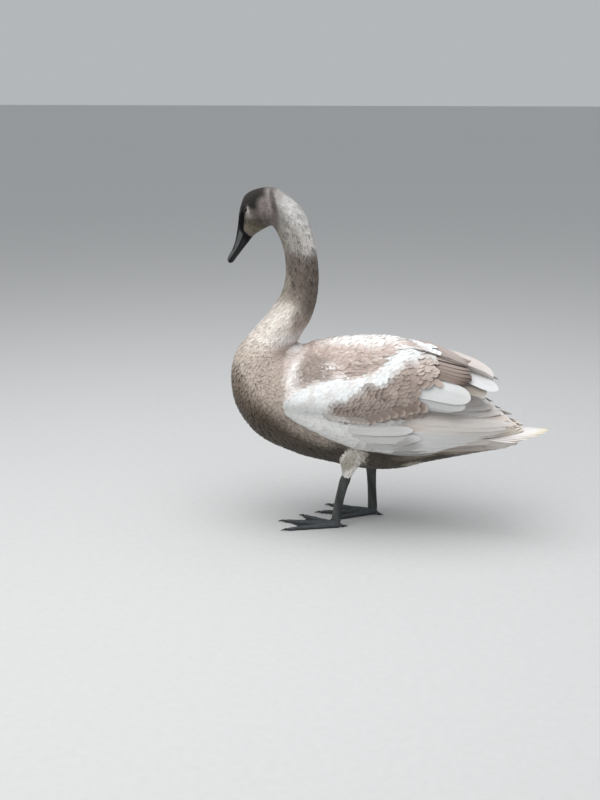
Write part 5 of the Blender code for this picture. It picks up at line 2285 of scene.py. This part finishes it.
@dataclass
class LegParts:
    """A bare shank and webbed foot round their solids, and the tufts of the feathered shin.

    Attributes:
        leg: The leg's measures.
        nodes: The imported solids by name.
        shank_wide: Width of the shank down its length, as a share of its least width.
        shank_deep: Its depth, in the same way.
        plates: How many plates run down the front.
        toe_plate: Distance between the plates of a toe, in millimetres.
        wrinkle: Distance between the wrinkles of the web.
        tuft: Length of the shin's feathers in millimetres, by hundredths of its length.
        cuff: Where the feathers end, as a share of the shin.
    """

    leg: Leg
    nodes: dict[str, bpy.types.Object]
    shank_wide: Line = (
        (0, 1), (0.06, 1.2), (0.14, 1.28), (0.26, 1.1), (0.5, 1.02), (0.78, 1.06), (0.9, 1.18), (1, 1.05),
    )
    shank_deep: Line = (
        (0, 1), (0.06, 1.2), (0.14, 1.28), (0.26, 1.14), (0.5, 1.06), (0.78, 1.1), (0.9, 1.16), (1, 1),
    )
    plates: int = 19
    toe_plate: float = 4.0
    wrinkle: float = 5.5
    tuft: Line = ((-30, 20), (0, 18), (60, 14), (95, 9))
    cuff: float = 0.93

    def shank_line(self, share: Array) -> Array:
        """Points down the middle of the shank.

        Args:
            share: Shares of the way down.

        Returns:
            Points in metres.
        """
        leg = self.leg
        top = np.array([leg.side.value * leg.x, leg.ankle[0], leg.ankle[1] + 8.0])
        low = np.array([leg.side.value * leg.x, leg.foot[0], leg.foot[1] - 12.0])
        line = leg.between(top, low, share)
        line[..., 1] -= leg.bow * np.sin(math.pi * np.clip(share, 0, 1))
        return line * MM

    def shank(self, finish: bpy.types.Material) -> None:
        """Builds the shank: a knobbed ankle, a flat-sided shaft with plates in front, and a thick lower end.

        Args:
            finish: Its finish.
        """
        leg, rings, sides = self.leg, 64, 36
        share, around = grid(np.linspace(0, 1, rings), ring_angles(sides))
        front = bell(np.degrees(around), 180, 38)
        plates = 0.35 * np.maximum(0, np.sin(share * FULL_TURN * self.plates)) ** 0.5 * front
        pebbles = 0.22 * np.sin(share * 150 + 3 * np.sin(around * 5)) * np.sin(around * 9) * (1 - front)
        knob = 0.9 * bell(share, 0.12, 0.05) * np.abs(np.sin(around)) ** 3
        grow = plates + pebbles + knob
        wide = read(self.shank_wide, share) * leg.shank_wide / 2 + grow
        deep = read(self.shank_deep, share) * leg.shank_deep / 2 + grow
        points = self.shank_line(share) + np.stack([wide * np.sin(around), deep * np.cos(around), 0 * wide], -1) * MM
        ends = [tuple(range(sides)), tuple(range(share.size - 1, share.size - sides - 1, -1))]
        faces = tube_faces(rings, sides, flip=True) + ends
        obj = mesh_object(f"leg_shank_{leg.side.word}", points.reshape(-1, 3), faces, finish)
        colour = mix(linear("#4c5150"), linear("#343838"), 0.5 + 0.5 * np.sin(around * 2 + share * 9))
        colour = mix(colour, linear("#7a7a72"), 0.45 * front * (share < 0.9))
        paint(obj, colour.reshape(-1, 3))
        lay_map(obj, BAKE_MAP, np.stack([around / FULL_TURN, share], -1).reshape(-1, 2))
        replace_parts(obj, f"shank_{leg.side.word}")

    def rounded(self, node: bpy.types.Object) -> bpy.types.Mesh:
        """A solid's mesh with its edges worn round.

        Args:
            node: The solid.

        Returns:
            A new mesh.
        """
        helper = bpy.data.objects.new("rounded", node.data.copy())
        bpy.context.scene.collection.objects.link(helper)
        remesh = helper.modifiers.new("voxels", "REMESH")
        remesh.mode, remesh.voxel_size = "VOXEL", 1.1 * MM
        even = helper.modifiers.new("even", "SMOOTH")
        even.factor, even.iterations = 0.5, 4
        made = bpy.data.meshes.new_from_object(helper.evaluated_get(bpy.context.evaluated_depsgraph_get()))
        bpy.data.objects.remove(helper)
        return made

    def foot(self, finish: bpy.types.Material) -> None:
        """Builds the foot from its solid: rounded joints, pads and a wrinkled web between the toes.

        Args:
            finish: Its finish.
        """
        leg, name = self.leg, f"foot_{self.leg.side.word}"
        mesh = self.rounded(self.nodes[name])
        points, normals = np.empty((2, len(mesh.vertices) * 3))
        mesh.vertices.foreach_get("co", points)
        mesh.vertices.foreach_get("normal", normals)
        points, normals = points.reshape(-1, 3), normals.reshape(-1, 3)
        root = np.array([leg.side.value * leg.x, leg.foot[0]]) * MM
        away = np.linalg.norm(points[:, :2] - root, axis=1) / MM
        toes = smooth(3.4, 6.0, points[:, 2] / MM)
        # Plates cross the toes, and fine wrinkles fan over the web.
        plates = 0.28 * np.sin(away * FULL_TURN / self.toe_plate) * toes * (normals[:, 2] > 0.2)
        fan = np.sin(away * FULL_TURN / self.wrinkle + 2 * np.sin(points[:, 0] * 300))
        web = 0.12 * fan * (1 - toes) * (normals[:, 2] > 0.3)
        points = points + normals * ((plates + web) * MM)[:, None]
        points[:, 2] = np.maximum(points[:, 2], 0.0)
        faces = [tuple(p.vertices) for p in mesh.polygons]
        obj = mesh_object(f"leg_foot_{leg.side.word}", points, faces, finish)
        paint(obj, mix(linear("#33373a"), linear("#50565a"), toes))
        places = (points[:, :2] - points[:, :2].min(0)) / (np.ptp(points[:, :2], axis=0) * 2.1)
        places[:, 0] += 0.5 * (normals[:, 2] < -0.3)  # the sole has the other half of the map
        lay_map(obj, BAKE_MAP, places)
        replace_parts(obj, name)

    def tufts(self, finish: bpy.types.Material, rng: np.random.Generator) -> None:
        """Covers the shin with short pale feathers that end in a ragged cuff above the ankle.

        Args:
            finish: Their finish.
            rng: Where the jitter comes from.
        """
        surface = ShinSurface(self.leg)
        rows, at = [], -0.3
        while at < self.cuff:
            count = int(56 - 20 * max(0, at))
            around = (np.arange(count) + rng.uniform(-0.3, 0.3, count)) / count * FULL_TURN
            rows.append(np.stack([np.full(count, at * 100) + rng.uniform(-1.5, 1.5, count), around]))
            at += 0.036
        along, around = np.concatenate(rows, 1)
        count = len(along)
        length = read(self.tuft, along) * rng.uniform(0.85, 1.2, count)
        tip = surface.walk(along, around, rng.normal(0, 0.2, count), length * MM)
        points = surface.base(along, around)
        tint = mix(plain("#ebe7e0", count), linear("#b9b3a7"), smooth(-0.2, 1.2, waves(points, 0.02, 61)))
        tint = mix(tint, linear("#6f6455"), (1 - smooth(-30, -12, along)) * 0.7)
        tint = np.clip(tint * (1 + rng.normal(0, 0.1, count))[:, None], 0, 0.95)
        high = 0.3 + rng.random(count) * 0.9 + 4.5 * (1 - smooth(25, 75, along))
        sheet = FeatherMesh(f"leg_tufts_{self.leg.side.word}")
        batch = Batch(surface, (along, around), tip, length * 0.24 * MM, -2.0 * MM, high * MM, tint, tint * 1.08)
        sheet.add(replace(batch, thick=0.4 * MM, shade=0.3))
        sheet.build(finish)


# ---------------------------------------------------------------- the room
@dataclass
class Studio:
    """A plain pale floor, soft light from above and the camera.

    Attributes:
        floor_half: Half of the floor's side in metres.
        camera: Where the camera stands.
        azimuth: The way that it looks, in degrees.
        pitch: How far it looks down, in degrees.
        lens: Focal length in millimetres, for a sensor 36 mm wide.
        sky: Colour of the even light.
        sky_power: Its strength.
    """

    floor_half: float = 60.0
    camera: tuple[float, float, float] = (2.723, 0.274, 1.021)
    azimuth: float = 100.0
    pitch: float = 14.7
    lens: float = 54.0
    sky: str = "#dfe3e6"
    sky_power: float = 0.62

    @staticmethod
    def place(name: str, data: bpy.types.ID) -> bpy.types.Object:
        """Puts a thing into the scene.

        Args:
            name: Its name.
            data: A mesh, a lamp or a camera.

        Returns:
            The object.
        """
        obj = bpy.data.objects.new(name, data)
        bpy.context.scene.collection.objects.link(obj)
        return obj

    def floor(self) -> None:
        """Lays the floor."""
        maker = MaterialMaker("matt_painted_floor")
        # Fine plaster grain keeps the floor from looking like a flat void.
        settings = {"Scale": 60.0, "Detail": 4.0}
        grain = add_node(maker.tree, "ShaderNodeTexNoise", settings, {"Vector": maker.place}).outputs[0]
        settings = dict(zip(RANGES, (0.0, 1.0, 0.60, 0.66)))
        tone = add_node(maker.tree, "ShaderNodeMapRange", settings, {"Value": grain}).outputs[0]
        grey = add_node(maker.tree, "ShaderNodeCombineColor", links={i: tone for i in range(3)}).outputs[0]
        maker.feed("Base Color", grey)
        h = self.floor_half
        mesh = bpy.data.meshes.new("floor")
        mesh.from_pydata([(-h, -h, 0), (h, -h, 0), (h, h, 0), (-h, h, 0)], [], [(0, 1, 2, 3)])
        mesh.materials.append(maker.finish(Roughness=0.9))
        self.place("floor", mesh)

    def lamp(self, name: str, place: tuple, aim: tuple, size: float, power: float, tint: str) -> None:
        """Hangs one softbox.

        Args:
            name: Its name.
            place: Where it hangs, in metres.
            aim: What it points at.
            size: Its width.
            power: Its power in watts.
            tint: Its colour.
        """
        light = bpy.data.lights.new(name, "AREA")
        light.shape, light.size, light.energy = "DISK", size, power
        light.color = tuple(linear(tint))
        obj = self.place(name, light)
        obj.location = place
        obj.rotation_euler = (Vector(aim) - Vector(place)).to_track_quat("-Z", "Y").to_euler()

    def lights(self) -> None:
        """An overcast sky: a wide softbox above and even light all round."""
        world = bpy.data.worlds.new("studio")
        bpy.context.scene.world = world
        world.use_nodes = True
        glow = world.node_tree.nodes["Background"]
        glow.inputs["Color"].default_value = (*linear(self.sky), 1.0)
        glow.inputs["Strength"].default_value = self.sky_power
        self.lamp("softbox_top", (0.5, -0.3, 2.9), (0, 0, 0.35), 3.8, 80.0, "#ffffff")
        self.lamp("softbox_front", (2.2, -1.8, 1.9), (0, -0.1, 0.4), 1.4, 14.0, "#fff8f0")

    def view(self) -> None:
        """Sets up the camera."""
        data = bpy.data.cameras.new("camera")
        data.lens, data.sensor_width, data.sensor_fit = self.lens, 36.0, "AUTO"
        obj = self.place("camera", data)
        turn, drop = math.radians(self.azimuth), math.radians(self.pitch)
        ahead = Vector((-math.sin(turn) * math.cos(drop), math.cos(turn) * math.cos(drop), -math.sin(drop)))
        obj.location = self.camera
        obj.rotation_euler = ahead.to_track_quat("-Z", "Y").to_euler()
        bpy.context.scene.camera = obj
        bpy.context.scene.view_settings.view_transform = "Standard"

    def make(self) -> None:
        """Builds the room."""
        self.floor()
        self.lights()
        self.view()


# ---------------------------------------------------------------- the bird
TRACTS = (
    Tract(
        "head_feathers", "head_down", 6.05, 12.0, (5.2, 10.0), (1.55, 2.7), (0.33, 0.66), Form.DOWN,
        0.16, 0.35, 0.17, 0.05, flecks=0.4, sink=0.5, thick=0.14,
    ),
    Tract(
        "neck_feathers_upper", "neck_down", 11.9, 15.6, (10.0, 14.0), (2.3, 3.0), (0.36, 0.62), Form.TUFT,
        0.4, 0.7, 0.2, 0.1, flecks=0.55, thick=0.18,
    ),
    Tract(
        "neck_feathers_lower", "neck_down", 15.5, 18.6, (13.0, 17.0), (3.2, 5.0), (0.36, 0.62), Form.TUFT,
        0.5, 0.65, 0.15, 0.1, flecks=0.4, thick=0.2,
    ),
    Tract(
        "breast_feathers", "body_down", 18.5, 23.2, (17.0, 26.0), (6.5, 9.5), (0.3, 0.52), Form.CONTOUR,
        0.55, 0.6, 0.11, 0.1, flecks=0.35,
    ),
    Tract(
        "belly_feathers", "body_down", 23.0, 29.4, (26.0, 32.0), (11.0, 12.0), (0.32, 0.52), Form.CONTOUR,
        0.6, 0.6, 0.09, 0.08, reach=(64, 180),
    ),
    Tract(
        "mantle_feathers", "body_down", 19.8, 27.0, (22.0, 38.0), (13.0, 20.0), (0.34, 0.55), Form.CONTOUR,
        0.9, 0.7, 0.12, 0.12, reach=(0, 70),
    ),
    Tract(
        "rump_feathers", "body_down", 26.6, 29.4, (32.0, 34.0), (12.0, 14.0), (0.34, 0.55), Form.CONTOUR,
        0.8, 0.6, 0.06, 0.08, reach=(0, 68),
    ),
    Tract(
        "tail_coverts", "body_down", 29.1, 30.6, (34.0, 30.0), (12.0, 10.0), (0.3, 0.5), Form.CONTOUR,
        0.5, 0.6, 0.05, 0.06,
    ),
)
# What each layer of the wing lies on, and how far its surface is evened out.
LAYERS = {
    "outer": (("trunk", "wing_left_arm", "wing_left_tertials", "wing_left_hand"), 6),
    "crest": (("wing_left_arm", "wing_left_tertials"), 6),
    "hand": (("trunk", "wing_left_hand"), 4),
    "flesh": (("trunk", "wing_left_arm", "wing_left_hand"), 3),
}
COAT_SEED, TUFT_SEED = 100, 50


def solids_tree(nodes: dict[str, bpy.types.Object], names: Sequence[str]) -> BVHTree:
    """One search tree over several solids.

    Args:
        nodes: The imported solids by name.
        names: Which to take.

    Returns:
        The tree.
    """
    points: list[Vector] = []
    faces: list[tuple[int, ...]] = []
    for name in names:
        mesh = nodes[name].data
        first = len(points)
        points += [v.co.copy() for v in mesh.vertices]
        faces += [tuple(i + first for i in p.vertices) for p in mesh.polygons]
    return BVHTree.FromPolygons(points, faces)


def main() -> None:
    """Builds the swan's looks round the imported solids."""
    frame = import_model()
    nodes = frame["nodes"]
    body = BodySurface()
    layers = {}
    for layer, (names, blur) in LAYERS.items():
        tree = solids_tree(nodes, names)
        layers[layer] = {side: WingSurface(tree, side, blur) for side in Side}
    down = Plumage("body_feathers", barb_depth=0.0, mottle_mm=2.0, mottle=0.1)
    head_down = Plumage("head_down", barb_depth=0.0, mottle_mm=1.4, mottle=0.12)
    skin = Skin(body, layers["flesh"])
    skin.make(Plumage("feathered_skin", barb_depth=0.0, mottle_mm=3.0, sheen=0.0, specular=0.08).make())
    coat = BodyCoat(body, skin)
    for number, tract in enumerate(TRACTS):
        finish = head_down if tract.slot == "head_down" else down
        coat.make(tract, finish.make(), COAT_SEED + number)
    coverts = Plumage("covert_feathers", roughness=0.7, barb_depth=0.18, mottle=0.06).make()
    quills = Plumage("quill_vanes", roughness=0.6, barb_depth=0.25, mottle=0.05, sheen=0.1).make()
    for side in Side:
        Wing(side, layers["outer"][side], layers["hand"][side], layers["crest"][side]).make(coverts, quills)
    Tail().make(quills)
    Bill(body).make(BillHorn().make())
    eye_shades, lid_shades = WetEye(), LidSkin()
    wet, lid = eye_shades.make(), lid_shades.make()
    for side in Side:
        parts = EyeParts(skin.eye, body, side)
        parts.ball(wet, eye_shades)
        parts.lids(lid, lid_shades)
    leg_finish, shin_finish, claw = LegSkin().make(), down.make(), ClawHorn().make()
    for number, leg in enumerate(LEGS.values()):
        parts = LegParts(leg, nodes)
        parts.shank(leg_finish)
        parts.foot(leg_finish)
        parts.tufts(shin_finish, np.random.default_rng(TUFT_SEED + number))
    for name, node in nodes.items():
        if name.startswith("claw_"):
            node.material_slots[0].material = claw
    Studio().make()


if __name__ == "__main__":
    logging.basicConfig(level=logging.INFO, format="%(name)s: %(message)s")
    main()
